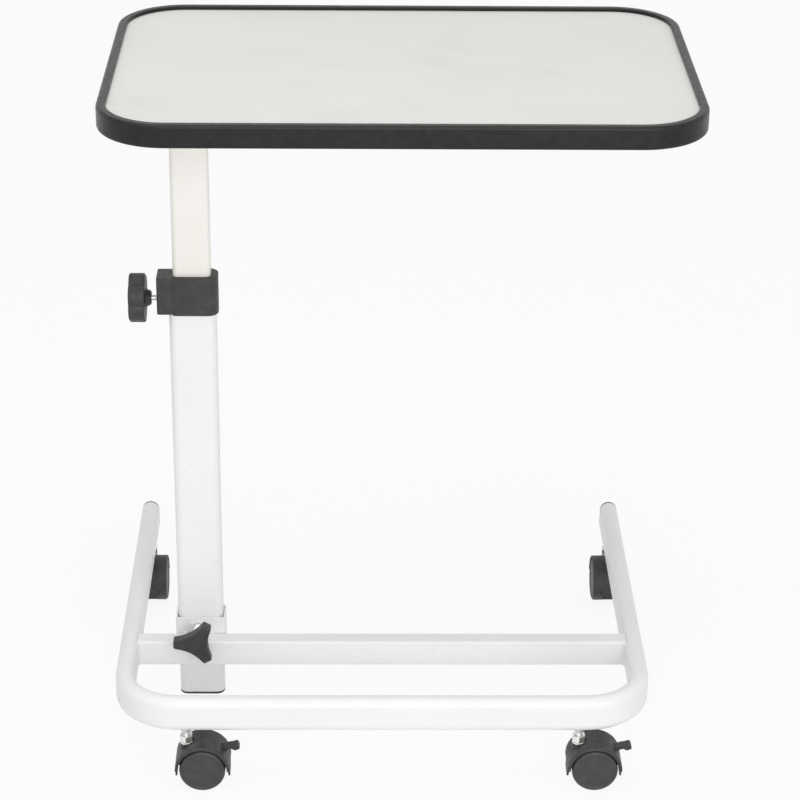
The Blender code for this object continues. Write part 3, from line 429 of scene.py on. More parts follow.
def makeBaseFrame():
    low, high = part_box("base_frame")
    half = baseSizes["width"] / 2
    leftX = low.x + half
    rightX = high.x - half
    frontY = low.y + half
    midZ = (low.z + high.z) / 2
    bend = baseSizes["bend"]
    piece = roundedPlate("baseFrame", (baseSizes["width"], baseSizes["height"]), half - tiny, 10,
                         (leftX, high.y, midZ), 90, "X")
    bpy.ops.mesh.delete(type="ONLY_FACE")
    pickAll()
    extrude(y=frontY + bend - high.y)
    quarter = dict(steps=baseSizes["bendSteps"], angle=-math.pi / 2, axis=(0, 0, 1))
    bpy.ops.mesh.spin(center=(leftX + bend, frontY + bend, midZ), **quarter)
    extrude(x=rightX - leftX - 2 * bend)
    bpy.ops.mesh.spin(center=(rightX - bend, frontY + bend, midZ), **quarter)
    extrude(y=high.y - frontY - bend)
    cleanShell()
    thicken(piece, baseSizes["wall"])
    soften(piece, tubeRim, 2, 60)
    for spot in casterPlaces:
        bush = middleOf("caster_bush_" + spot)
        hole = begin("bushHole", bpy.ops.mesh.primitive_cylinder_add, vertices=32,
                     radius=baseSizes["bushHole"], depth=half, location=(bush.x, bush.y, low.z))
        cut(piece, hole)
    return finishPiece(piece, "base", "white_paint", "base_frame")


def makeCrossBar():
    low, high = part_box("cross_bar")
    size = (high.z - low.z, high.y - low.y)
    start = (low.x, (low.y + high.y) / 2, (low.z + high.z) / 2)
    piece = straightTube("crossBar", size, baseSizes["barCorner"], 4, baseSizes["wall"], start,
                         (high.x - low.x, 0, 0), 90, "Y")
    return finishPiece(piece, "base", "white_paint", "cross_bar")


weldSizes = dict(foot=0.0016, run=0.0026, bite=0.0014, swell=0.35, swellTaper=1.25, endTaper=0.63)


def makeBarWelds():
    low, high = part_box("cross_bar")
    middle = ((low.x + high.x) / 2, (low.y + high.y) / 2, (low.z + high.z) / 2)
    size = (high.z - low.z, high.y - low.y)
    foot, run, bite, swell = weldSizes["foot"], weldSizes["run"], weldSizes["bite"], weldSizes["swell"]
    for side, edge, way in (("left", low.x, 1), ("right", high.x, -1)):
        piece = roundedPlate(side + "BarWeld", (size[0] + 2 * foot, size[1] + 2 * foot),
                             baseSizes["barCorner"] + foot, 6, (edge - way * bite, middle[1], middle[2]), 90, "Y")
        for step, taper in ((bite + run * swell, weldSizes["swellTaper"]),
                            (run * (1 - swell), weldSizes["endTaper"])):
            extrude(x=way * step)
            grow(middle, 1.0, 1 - taper * foot / size[1], 1 - taper * foot / size[0])
        cleanShell()
        finishPiece(piece, "base", "white_paint", smooth=60)


makeBaseFrame()
makeCrossBar()
makeBarWelds()
print("base: frame, cross bar, welds")

# column socket

socketSizes = dict(wall=0.002, corner=0.0025, rim=0.0004)


def makeSocket():
    low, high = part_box("column_socket")
    size = (high.x - low.x, high.y - low.y)
    start = ((low.x + high.x) / 2, (low.y + high.y) / 2, low.z)
    piece = straightTube("columnSocket", size, socketSizes["corner"], 4, socketSizes["wall"], start,
                         (0, 0, high.z - low.z), rim=socketSizes["rim"])
    return finishPiece(piece, "base", "white_paint", "column_socket")


# each bead as radius and length along it
tackSizes = dict(leftTack=-0.0205, rightTack=0.0095,
                 bead=((0.0005, 0.0), (0.0013, 0.0005), (0.0017, 0.0013), (0.0015, 0.0020), (0.0019, 0.0029),
                       (0.0016, 0.0037), (0.0018, 0.0045), (0.0012, 0.0053), (0.0005, 0.0058)))


def makeSocketWelds():
    low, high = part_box("column_socket")
    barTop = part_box("cross_bar")[1].z
    for name in ("leftTack", "rightTack"):
        at = ((low.x + high.x) / 2 + tackSizes[name], low.y, barTop)
        piece = turnedPiece(name, tackSizes["bead"], 20, 90, "Y", at)
        finishPiece(piece, "base", "white_paint", smooth=60)


makeSocket()
makeSocketWelds()
print("socket: sleeve and tacks")

# plugs in the open tube ends

plugSizes = dict(flange=0.003, edge=0.0010, spigot=0.014, dome=0.0005, slope=0.004, step=0.0018, leadIn=0.94,
                 railCorner=0.003)


def capPlug(name, size, corner, segments, tilt, axis, at):
    shoulder = plugSizes["flange"] - plugSizes["dome"]
    piece = roundedPlate(name, size, corner, segments)
    extrude(z=shoulder)
    inset(plugSizes["slope"])
    shift(z=plugSizes["dome"])
    cleanShell()
    pickEdges(lambda a, b: abs(a.z - shoulder) < tiny and abs(b.z - shoulder) < tiny)
    bevelEdges(plugSizes["edge"], 3)
    pickFaces(lambda c, n: n.z < -0.99)
    inset(plugSizes["step"])
    extrude(z=-plugSizes["spigot"])
    grow((0, 0, -plugSizes["spigot"]), plugSizes["leadIn"], plugSizes["leadIn"])  # so it taps home
    cleanShell()
    place(tilt, axis, at)
    return piece


def makePlugs():
    for side in ("left", "right"):
        low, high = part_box("arm_plug_" + side)
        at = ((low.x + high.x) / 2, high.y - plugSizes["flange"], (low.z + high.z) / 2)
        plug = capPlug(side + "ArmPlug", (high.x - low.x, high.z - low.z), (high.x - low.x) / 2 - tiny, 10,
                       -90, "X", at)
        finishPiece(plug, "base", "black_plastic", "arm_plug_" + side)
        low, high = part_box("rail_plug_" + side)
        way = -1 if side == "left" else 1
        edge = low.x + plugSizes["flange"] if way < 0 else high.x - plugSizes["flange"]
        plug = capPlug(side + "RailPlug", (high.z - low.z, high.y - low.y), plugSizes["railCorner"], 4,
                       90 * way, "Y", (edge, (low.y + high.y) / 2, (low.z + high.z) / 2))
        finishPiece(plug, "upper_mast", "black_plastic", "rail_plug_" + side)
    low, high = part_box("column_end_plug")
    at = ((low.x + high.x) / 2, (low.y + high.y) / 2, low.z + plugSizes["flange"])
    plug = capPlug("columnPlug", (high.x - low.x, high.y - low.y), columnSizes["lowerCorner"], 8, 180, "X", at)
    finishPiece(plug, "lower_mast", "black_plastic", "column_end_plug")


makePlugs()
print("plugs: arms, rail, column")

# screws and nuts

threadSizes = dict(pitch=0.00125, depth=0.00045, flanks=(0.08, 0.42, 0.58, 0.92))
studSizes = dict(nose=0.8, chamfer=0.0006, plain=0.001)
nutSizes = dict(crown=1.002, face=0.95, slope=0.96, drop=0.55, flare=0.0008, flareDeep=0.0006, flareOut=0.0004,
                edge=0.00015)


def threadRings(radius, start, end):
    root = radius - threadSizes["depth"]
    rings = []
    count = int((end - start) / threadSizes["pitch"])
    step = (end - start) / count
    for i in range(count):
        for reach, share in zip((root, radius, radius, root), threadSizes["flanks"]):
            rings.append((reach, start + (i + share) * step))
    return rings


def threadedStud(name, radius, run, tilt, axis, at):
    nose, plain = radius * studSizes["nose"], studSizes["plain"]
    profile = [(nose, 0.0), (radius, studSizes["chamfer"])]
    profile += threadRings(radius, plain, run - plain) + [(nose, run)]
    return turnedPiece(name, profile, 28, tilt, axis, at)


def hexNut(name, flats, height, bore, tilt=0.0, axis="X", at=(0, 0, 0)):
    corner = flats / math.sqrt(3)
    piece = begin(name, bpy.ops.mesh.primitive_cylinder_add, vertices=6, radius=corner, depth=height,
                  location=(0, 0, height / 2))
    crown = corner * nutSizes["crown"]
    face = flats / 2 * nutSizes["face"]
    drop = (corner - flats / 2 * nutSizes["slope"]) * nutSizes["drop"]
    dome = turnedPiece("nutCrown", [(face, -tiny), (crown, drop), (crown, height - drop), (face, height + tiny)], 60)
    join(piece, dome, "INTERSECT")
    mouth, deep, out = bore + nutSizes["flare"], nutSizes["flareDeep"], nutSizes["flareOut"]
    hole = turnedPiece("nutHole", [(mouth, -out), (bore, deep), (bore, height - deep), (mouth, height + out)], 32)
    cut(piece, hole)
    soften(piece, nutSizes["edge"], 2, 25)
    openMesh(piece)
    place(tilt, axis, at)
    return piece


# clamp collar with its star knob

collarSizes = dict(sleeveCorner=0.0115, sleeveEdge=0.0010, blockCorner=0.002, blockEdge=0.0008, blockInset=0.001,
                   cover=0.0047, overlap=0.004, seat=0.0003, play=0.00035, screw=0.003, nutFlats=0.0106,
                   edge=0.0003)
starSizes = dict(radius=0.027, notch=0.0035, lobes=6, steps=8, edge=0.0018, rim=0.004, slope=0.003, dish=0.0008,
                 hub=0.0075, hubBase=0.0105, hubLength=0.006, hubDeep=0.004, chamfer=0.0006, flare=0.0007,
                 bore=0.0033, fillet=0.0003)


def makeCollar():
    low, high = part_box("clamp_collar")
    lowerLow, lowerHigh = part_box("lower_column")
    upperLow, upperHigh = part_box("upper_column")
    middle = (upperLow + upperHigh) / 2
    height = high.z - low.z
    size = (2 * (high.x - middle.x), high.y - low.y)
    piece = roundedPlate("clampCollar", size, collarSizes["sleeveCorner"], 10, (middle.x, middle.y, low.z))
    extrude(z=height)
    cleanShell()
    seam = lowerLow.x + collarSizes["cover"]
    bpy.ops.mesh.bisect(plane_co=(seam, 0, 0), plane_no=(1, 0, 0), use_fill=True, clear_inner=True)
    cleanShell()
    soften(piece, collarSizes["sleeveEdge"], 3, 60)

    overlap = collarSizes["overlap"]
    left = low.x
    right = seam + overlap
    inward = collarSizes["blockInset"]
    block = roundedPlate("clampBlock", (right - left, size[1] - 2 * inward), collarSizes["blockCorner"], 4,
                         ((left + right) / 2, middle.y, low.z + inward))
    extrude(z=height - 1.5 * inward)
    cleanShell()
    soften(block, collarSizes["blockEdge"], 3, 60)
    fuse(piece, block)

    seat, play = collarSizes["seat"], collarSizes["play"]
    room = (lowerHigh.x - lowerLow.x + 2 * seat, lowerHigh.y - lowerLow.y + 2 * seat)
    pocket = roundedPlate("collarPocket", room, columnSizes["lowerCorner"] + seat, 8,
                          (middle.x, middle.y, low.z - past))
    extrude(z=lowerHigh.z + seat - low.z + past)
    cleanShell()
    cut(piece, pocket)
    room = (upperHigh.x - upperLow.x + 2 * play, upperHigh.y - upperLow.y + 2 * play)
    guide = roundedPlate("collarGuide", room, columnSizes["upperCorner"] + play, 8,
                         (middle.x, middle.y, lowerHigh.z - overlap))
    extrude(z=high.z + past + overlap - lowerHigh.z)
    cleanShell()
    cut(piece, guide)
    screw = middleOf("height_knob_stud")
    bore = turnedPiece("clampBore", [(starSizes["bore"], 0.0), (starSizes["bore"], 3 * past)], 32, 90, "Y",
                       (left - overlap, screw.y, screw.z))
    cut(piece, bore)
    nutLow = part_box("collar_nut")[0]
    trap = begin("nutTrap", bpy.ops.mesh.primitive_cylinder_add, vertices=6,
                 radius=collarSizes["nutFlats"] / math.sqrt(3), depth=2 * past)
    place(90, "Y", (nutLow.x - seat + past, screw.y, screw.z))
    cut(piece, trap)
    soften(piece, collarSizes["edge"], 2, 50)
    return finishPiece(piece, "lower_mast", "black_plastic", "clamp_collar")


def pullLobes(count, radiusAt, steps):
    period = 360 / count
    for i in range(steps + 1):  # one ring of points per bearing, crest to valley
        bearing = period / 2 * i / steps

        def atBearing(v, bearing=bearing):
            here = math.degrees(math.atan2(v.y, v.x)) % period
            return abs(min(here, period - here) - bearing) < 0.01

        pickVerts(atBearing)
        share = radiusAt(bearing)
        grow((0, 0, 0), share, share)


def makeStarKnob():
    low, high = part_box("height_knob")
    screw = middleOf("height_knob_stud")
    radius, lobes, steps, hub = starSizes["radius"], starSizes["lobes"], starSizes["steps"], starSizes["hub"]
    hubBase, hubLength, chamfer = starSizes["hubBase"], starSizes["hubLength"], starSizes["chamfer"]
    thickness = high.x - low.x - hubLength
    piece = begin("starKnob", bpy.ops.mesh.primitive_circle_add, vertices=lobes * steps * 2, radius=radius,
                  fill_type="NGON")
    pullLobes(lobes, lambda b: 1 - starSizes["notch"] / radius * (lobes * b / 180) ** 2, steps)
    pickAll()
    extrude(z=thickness)
    cleanShell()
    pickEdges(lambda a, b: abs(a.z - b.z) < tiny)
    bevelEdges(starSizes["edge"], 4)
    pickFaces(lambda c, n: n.z > 0.99 and c.z > thickness - tiny)
    inset(starSizes["rim"])
    inset(starSizes["slope"], -starSizes["dish"])
    fuse(piece, turnedPiece("starHub", [(hub - chamfer, -hubLength), (hub, chamfer - hubLength),
                                        (hubBase - starSizes["flare"], -chamfer), (hubBase, 0.0),
                                        (hubBase, starSizes["hubDeep"])]))
    cut(piece, turnedPiece("starBore", [(starSizes["bore"], -2 * past), (starSizes["bore"], thickness / 2)], 32))
    soften(piece, starSizes["fillet"], 2, 40)
    openMesh(piece)
    place(-90, "Y", (high.x - hubLength, screw.y, screw.z))
    return finishPiece(piece, "height_handle", "black_plastic", "height_knob", smooth=45)


def makeHeightStud():
    low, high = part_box("height_knob_stud")
    middle = (low + high) / 2
    piece = threadedStud("heightStud", collarSizes["screw"], high.x - low.x, 90, "Y", (low.x, middle.y, middle.z))
    return finishPiece(piece, "height_handle", "zinc", "height_knob_stud")


makeCollar()
makeStarKnob()
makeHeightStud()
print("collar: clamp, star knob, stud")

# three-lobed knob on the socket

# rim and dish are steps of height, each with how much of the outline is left
lobeSizes = dict(radius=0.0252, waist=0.0126, tip=0.0052, blend=14, steps=36, back=0.0008, backShare=0.965,
                 hub=0.0085, hubLength=0.006, hubDeep=0.003, chamfer=0.0008, screw=0.005, bore=0.0053,
                 rim=((0.0009, 0.985), (0.0006, 0.970), (0.0003, 0.960)), dish=((0.0, 0.88), (-0.0005, 0.96)))


def lobeShare(bearing):  # a blunt end blended into the hollow arc down to the waist
    radius, waist, tip, blend = lobeSizes["radius"], lobeSizes["waist"], lobeSizes["tip"], lobeSizes["blend"]
    way = math.radians(bearing)
    flat = 1 / math.cos(way)
    along = radius / 2 + tip * math.sin(math.pi / 3)
    centre = (radius**2 + tip**2 - waist**2) / (2 * (along - waist))
    away = centre * math.cos(math.pi / 3 - way)
    inside = away**2 - centre**2 + (centre - waist)**2
    if inside < 0:
        return flat
    arc = (away - math.sqrt(inside)) / radius
    return (flat**-blend + arc**-blend) ** (-1 / blend)


def makeLobeKnob():
    low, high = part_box("socket_knob")
    screw = middleOf("socket_knob_stud")
    steps, back, backShare = lobeSizes["steps"], lobeSizes["back"], lobeSizes["backShare"]
    hub, hubLength, chamfer = lobeSizes["hub"], lobeSizes["hubLength"], lobeSizes["chamfer"]
    thickness = high.y - low.y - hubLength
    piece = begin("lobeKnob", bpy.ops.mesh.primitive_circle_add, vertices=steps * 6, radius=lobeSizes["radius"],
                  fill_type="NGON", rotation=(0, 0, math.pi / 2))
    pullLobes(3, lobeShare, steps)
    pickAll()
    grow((0, 0, 0), backShare, backShare)
    extrude(z=back)
    grow((0, 0, 0), 1 / backShare, 1 / backShare)
    extrude(z=thickness - back - sum(rise for rise, share in lobeSizes["rim"]))
    for rise, share in lobeSizes["rim"] + lobeSizes["dish"]:
        extrude(z=rise)
        grow((0, 0, 0), share, share)
    cleanShell()
    fuse(piece, turnedPiece("lobeHub", [(hub - chamfer, -hubLength), (hub, chamfer - hubLength),
                                        (hub, lobeSizes["hubDeep"])]))
    cut(piece, turnedPiece("lobeBore", [(lobeSizes["bore"], -2 * past), (lobeSizes["bore"], thickness / 2)], 32))
    openMesh(piece)
    place(180, "Z", (0, 0, 0))  # one lobe to the left
    place(90, "X", (screw.x, low.y + thickness, screw.z))
    return finishPiece(piece, "socket_handle", "black_plastic", "socket_knob", smooth=45)


def makeSocketStud():
    low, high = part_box("socket_knob_stud")
    middle = (low + high) / 2
    piece = threadedStud("socketStud", lobeSizes["screw"], high.y - low.y, -90, "X", (middle.x, low.y, middle.z))
    return finishPiece(piece, "socket_handle", "zinc", "socket_knob_stud")


def makeWeldNut():
    low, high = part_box("socket_weld_nut")
    middle = (low + high) / 2
    flats = min(high.x - low.x, high.z - low.z)
    piece = hexNut("weldNut", flats, high.y - low.y, lobeSizes["bore"], 90, "X", (middle.x, high.y, middle.z))
    return finishPiece(piece, "base", "white_paint", "socket_weld_nut")


makeLobeKnob()
makeSocketStud()
makeWeldNut()
print("socket: hand knob, stud, weld nut")

# carriers under the board

supportSizes = dict(railCorner=0.003, wall=0.0015, strapCorner=0.006, strapEdge=0.0005, strapHole=0.0023)
# the dome is shares of the head's radius, each with its height
screwSizes = dict(head=0.004, headHeight=0.0024, shank=0.002, slotWide=0.0010, slotLong=0.0046, slotDeep=0.0011,
                  neck=0.0008, taper=0.0025, point=0.002, pointShare=0.7, tip=0.0003, yaw=20,
                  dome=((0.45, 0.0), (0.70, 0.00022), (0.88, 0.0007), (0.97, 0.0013), (1.0, 0.0019)))


def copyOf(pattern, name, yaw=0.0, at=(0, 0, 0)):
    choose(pattern)
    bpy.ops.object.duplicate()
    piece = bpy.context.object
    piece.name = name
    piece.data.name = name
    openMesh(piece)
    place(yaw, "Z", at)
    return piece


def makeSupports():
    low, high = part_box("support_rail")
    start = (low.x, (low.y + high.y) / 2, (low.z + high.z) / 2)
    rail = straightTube("supportRail", (high.z - low.z, high.y - low.y), supportSizes["railCorner"], 4,
                        supportSizes["wall"], start, (high.x - low.x, 0, 0), 90, "Y")
    finishPiece(rail, "upper_mast", "white_paint", "support_rail")
    for side in ("left", "right"):
        node = "support_strap_" + side
        low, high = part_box(node)
        strap = roundedPlate(side + "Strap", (high.x - low.x, high.y - low.y), supportSizes["strapCorner"], 6,
                             ((low.x + high.x) / 2, (low.y + high.y) / 2, low.z))
        extrude(z=high.z - low.z)
        cleanShell()
        for end in ("front", "rear"):
            screw = middleOf("wood_screw_" + side + "_" + end)
            hole = supportSizes["strapHole"]
            cut(strap, turnedPiece("strapHole", [(hole, low.z - past), (hole, high.z + past)], 24,
                                   at=(screw.x, screw.y, 0)))
        soften(strap, supportSizes["strapEdge"], 2, 50)
        finishPiece(strap, "upper_mast", "white_paint", node)


def makeWoodScrews():
    low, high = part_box("wood_screw_left_front")
    length = high.z - low.z
    head, depth, shank = screwSizes["head"], screwSizes["headHeight"], screwSizes["shank"]
    profile = [(head * share, rise) for share, rise in screwSizes["dome"]] + [(head, depth), (shank, depth)]
    profile += threadRings(shank, depth + screwSizes["neck"], length - screwSizes["taper"])
    profile += [(shank * screwSizes["pointShare"], length - screwSizes["point"]), (screwSizes["tip"], length)]
    pattern = turnedPiece("woodScrew", profile, 32)
    for yaw in (0, 90):
        slot = begin("driverSlot", bpy.ops.mesh.primitive_cube_add, size=1)
        grow((0, 0, 0), screwSizes["slotLong"], screwSizes["slotWide"], 2 * screwSizes["slotDeep"])
        place(yaw, "Z", (0, 0, 0))
        cut(pattern, slot)
    for side in ("left", "right"):
        for end in ("front", "rear"):
            node = "wood_screw_" + side + "_" + end
            spot = middleOf(node)
            screw = copyOf(pattern, side + end.capitalize() + "Screw", screwSizes["yaw"], (spot.x, spot.y, low.z))
            finishPiece(screw, "upper_mast", "zinc", node)
    bpy.data.objects.remove(pattern)


makeSupports()
makeWoodScrews()
print("tabletop: rail, straps, screws")

# twin-wheel casters, modelled once round the stem axis with the axle towards +X

casterSizes = dict(roof=0.0295, well=0.0262, half=0.020, web=0.0065, brow=0.0014, lip=0.0004, flapReach=0.02945,
                   flapDrop=0.0113, flapHalf=0.0095, flapTip=0.0019, flapRoot=0.003, axleBoss=0.007,
                   axleBore=0.0033, bossShy=0.0001, stemBoss=0.0068, bossTop=0.0500348, recess=0.0085,
                   recessTop=0.0097, recessDeep=0.012, stemBore=0.0043, stemBoreHalf=0.019, edge=0.00042)
wheelSizes = dict(radius=0.02475, width=0.013, bore=0.0032, boreDepth=0.0093, hub=0.008, hubSlope=0.0004,
                  inset=0.0003, flank=0.0008, corner=0.0006, cornerHeight=0.0009, shoulder=0.0034, rim=0.0007,
                  dish=0.0008, rimSteps=(0.0004, 0.0006, 0.0010), rimDrop=0.0002, cap=0.0060, play=0.0005)
stemSizes = dict(radius=0.004, flange=0.007, flangeHeight=0.0018, nose=0.85, chamfer=0.0006, under=0.0003,
                 over=0.0004, end=0.8, endPlain=0.0008, nutFlats=0.013, nutBore=0.0043)
leverSizes = dict(bearing=42, sink=0.0035, length=0.0205, thick=0.005, wide=0.0084, rest=20, press=14,
                  roundShare=0.45, hook=0.0034, hookStart=0.0095, hookEnd=0.0060, hookTop=0.25, pin=0.0018,
                  pinOut=0.0014, seat=0.0003, edge=0.0009)

stemSpot = middleOf("caster_stem_front_left")
axleSpot = middleOf("caster_axle_front_left")
trail = math.hypot(axleSpot.x - stemSpot.x, axleSpot.y - stemSpot.y)
axleHeight = axleSpot.z
leverReach = casterSizes["roof"] - leverSizes["sink"]
leverPivot = (trail + leverReach * math.cos(math.radians(leverSizes["bearing"])), 0,
              axleHeight + leverReach * math.sin(math.radians(leverSizes["bearing"])))


def acrossDisc(name, radius, near, far, vertices=64, at=(trail, 0, axleHeight)):
    return turnedPiece(name, [(radius, near), (radius, far)], vertices, 90, "X", at)


def roofSection():  # half of the section through roof and web, from the axle outwards
    half, web, roof, well = casterSizes["half"], casterSizes["web"], casterSizes["roof"], casterSizes["well"]
    brow, lip = casterSizes["brow"], casterSizes["lip"]
    section = [(0.0, web), (well / 2, web), (well, web), (well, (web + half) / 2), (well, half - lip),
               (well + lip, half)]
    section += quarterArc(roof - brow, half - brow, brow, 90, 0, 5)
    section += [(roof, (half - brow) * fifths / 5) for fifths in (4, 3, 2, 1)]
    return section


def makeHood(name, braked):
    web = casterSizes["web"]
    hood = begin(name, bpy.ops.mesh.primitive_plane_add, size=0.001)
    bpy.ops.mesh.merge(type="CENTER")
    shift(trail, -web, axleHeight)
    section = roofSection()
    outline = [(reach, -across) for reach, across in section] + [(casterSizes["roof"], 0.0)]
    outline += [(reach, across) for reach, across in reversed(section)]
    for start, end in zip(outline, outline[1:]):
        extrude(x=end[0] - start[0], y=end[1] - start[1])
    pickAll()
    bpy.ops.mesh.spin(steps=64, angle=math.pi, center=(trail, 0, axleHeight), axis=(0, 1, 0))
    pickAll()
    bpy.ops.mesh.remove_doubles(threshold=tiny)
    pickFrom("EDGE", lambda e: e.is_boundary)
    bpy.ops.mesh.edge_face_add()
    cleanShell()

    reach, drop, tip, root = (casterSizes[key] for key in ("flapReach", "flapDrop", "flapTip", "flapRoot"))
    for way in (-1, 1):
        flap = begin("endFlap", bpy.ops.mesh.primitive_cube_add, size=1)
        grow((0, 0, 0), 2 * tip, 2 * casterSizes["flapHalf"], drop + root)
        shift(trail + way * (reach - tip), 0, axleHeight + (root - drop) / 2)
        pickVerts(lambda v: v.z < axleHeight - drop / 2 and (v.x - trail) * way < reach - tip)
        shift(x=way * tip)
        fuse(hood, flap)
    bossHalf = web - casterSizes["bossShy"]
    fuse(hood, acrossDisc("axleBoss", casterSizes["axleBoss"], -bossHalf, bossHalf, 48))
    boss, bore, top = casterSizes["stemBoss"], casterSizes["stemBore"], casterSizes["bossTop"]
    boreHalf = casterSizes["stemBoreHalf"]
    fuse(hood, turnedPiece("stemBoss", [(boss, axleHeight), (boss, top)], 48))
    cut(hood, turnedPiece("stemRecess", [(casterSizes["recess"], top),
                                         (casterSizes["recessTop"], top + casterSizes["recessDeep"])], 48))
    cut(hood, turnedPiece("stemBore", [(bore, top - boreHalf), (bore, top + boreHalf)], 32))
    cut(hood, acrossDisc("axleBore", casterSizes["axleBore"], -2 * past, 2 * past, 32))
    if braked:
        seat = leverSizes["seat"]
        tall = leverSizes["thick"] + leverSizes["length"] * math.tan(math.radians(leverSizes["press"] / 2))
        slot = begin("leverSlot", bpy.ops.mesh.primitive_cube_add, size=1)
        grow((0, 0, 0), leverSizes["length"], leverSizes["wide"] + 2 * seat, tall)
        shift(x=leverSizes["length"] / 2 - leverSizes["thick"] / 2 - seat)
        place(leverSizes["press"] / 2 - leverSizes["rest"], "Y", leverPivot)
        cut(hood, slot)
        pinHalf = leverSizes["wide"] / 2 + leverSizes["pinOut"] + seat
        cut(hood, acrossDisc("pinBore", leverSizes["pin"] + seat, -pinHalf, pinHalf, 24, leverPivot))
    soften(hood, casterSizes["edge"], 2, 42)
    return hood


def makeWheel():
    radius, width, shoulder = wheelSizes["radius"], wheelSizes["width"], wheelSizes["shoulder"]
    bore, hub, slope, inner = wheelSizes["bore"], wheelSizes["hub"], wheelSizes["hubSlope"], wheelSizes["inset"]
    corner, drop = wheelSizes["corner"], wheelSizes["rimDrop"]
    rim = radius - shoulder - wheelSizes["rim"]
    floor = width - wheelSizes["dish"]
    first, second, third = wheelSizes["rimSteps"]
    profile = [(bore, wheelSizes["boreDepth"]), (bore, slope), (bore + slope, 0.0)]
    profile += [(hub, 0.0), (hub + slope, inner), (radius - wheelSizes["flank"], inner)]
    profile += quarterArc(radius - corner, wheelSizes["cornerHeight"], corner, -70, 0, 4)
    profile += quarterArc(radius - shoulder, width - shoulder, shoulder, 0, 90, 8)
    profile += [(rim, width), (rim - first, width - drop), (rim - second, floor + drop), (rim - third, floor),
                (wheelSizes["cap"], floor)]
    return turnedPiece("casterWheel", profile, 80)


def makeStem():
    low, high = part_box("caster_stem_front_left")
    radius, flange, under, over = (stemSizes[key] for key in ("radius", "flange", "under", "over"))
    seat = casterSizes["bossTop"] + leverSizes["seat"]
    top = seat + stemSizes["flangeHeight"]
    profile = [(radius * stemSizes["nose"], low.z), (radius, low.z + stemSizes["chamfer"]), (radius, seat)]
    profile += [(flange - under, seat), (flange, seat + under), (flange, top - over), (flange - over, top)]
    profile += [(radius, top)] + threadRings(radius, top + under, high.z - stemSizes["endPlain"])
    profile += [(radius * stemSizes["end"], high.z)]
    return turnedPiece("casterStem", profile, 40)


def makeLever():
    length, thick, wide, hook = leverSizes["length"], leverSizes["thick"], leverSizes["wide"], leverSizes["hook"]
    piece = roundedPlate("brakeLever", (length + thick / 2, thick), thick * leverSizes["roundShare"], 6,
                         (length / 2 - thick / 4, 0, 0))
    bendAt = length - leverSizes["hookEnd"]
    for cutAt in (length - leverSizes["hookStart"], bendAt):
        pickAll()
        bpy.ops.mesh.bisect(plane_co=(cutAt, 0, 0), plane_no=(1, 0, 0))
    pickVerts(lambda v: v.x > bendAt - 10 * tiny and v.y < 0)
    shift(y=-hook)
    pickVerts(lambda v: v.x > bendAt - 10 * tiny and v.y > 0)
    shift(y=-hook * leverSizes["hookTop"])
    pickAll()
    shift(z=-wide / 2)
    extrude(z=wide)
    cleanShell()
    place(90, "X", (0, 0, 0))
    pinHalf = wide / 2 + leverSizes["pinOut"]
    fuse(piece, acrossDisc("leverPin", leverSizes["pin"], -pinHalf, pinHalf, 24, (0, 0, 0)))
    soften(piece, leverSizes["edge"], 3, 60)
    openMesh(piece)
    place(-leverSizes["rest"], "Y", leverPivot)
    return piece


def makeCasters():
    patterns = dict(plain=makeHood("plainHood", braked=False), braked=makeHood("brakedHood", braked=True),
                    wheel=makeWheel(), stem=makeStem(), lever=makeLever())
    nutLow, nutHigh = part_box("caster_nut_front_left")
    patterns["nut"] = hexNut("lockNut", stemSizes["nutFlats"], nutHigh.z - nutLow.z, stemSizes["nutBore"])
    for spot in casterPlaces:
        word = spot.split("_")[0] + spot.split("_")[1].capitalize()
        stem = middleOf("caster_stem_" + spot)
        axle = middleOf("caster_axle_" + spot)
        yaw = math.degrees(math.atan2(axle.y - stem.y, axle.x - stem.x))
        at = (stem.x, stem.y, 0)
        hood = copyOf(patterns["braked" if "front" in spot else "plain"], word + "Hood", yaw, at)
        finishPiece(hood, "caster_" + spot, "black_plastic", "caster_hood_" + spot, smooth=32)
        for side, tilt in (("a", 90), ("b", -90)):
            wheel = copyOf(patterns["wheel"], word + "Wheel" + side.upper())
            shift(z=casterSizes["web"] + wheelSizes["play"])
            place(tilt, "X", (trail, 0, axleHeight))
            place(yaw, "Z", at)
            finishPiece(wheel, "wheel_" + spot + "_" + side, "wheel_plastic",
                        "caster_wheel_" + spot + "_" + side)
        finishPiece(copyOf(patterns["stem"], word + "Stem", 0, at), "base", "zinc", "caster_stem_" + spot)
        nut = copyOf(patterns["nut"], word + "Nut", 0, (stem.x, stem.y, nutLow.z))
        finishPiece(nut, "base", "zinc", "caster_nut_" + spot, smooth=25)
        if "front" in spot:
            lever = copyOf(patterns["lever"], word + "Lever", yaw, at)
            finishPiece(lever, "brake_" + spot, "black_plastic", "brake_lever_" + spot)
    for pattern in patterns.values():
        bpy.data.objects.remove(pattern)


makeCasters()
print("casters: four, two with brakes")

# camera, placed from the middle of the top's front edge

cameraSizes = dict(lens=116.25, sensor=36.0, pitch=25.359, yaw=1.044, roll=0.578, side=-0.04385, back=-2.33455,
                   height=1.5734, clipStart=0.05)


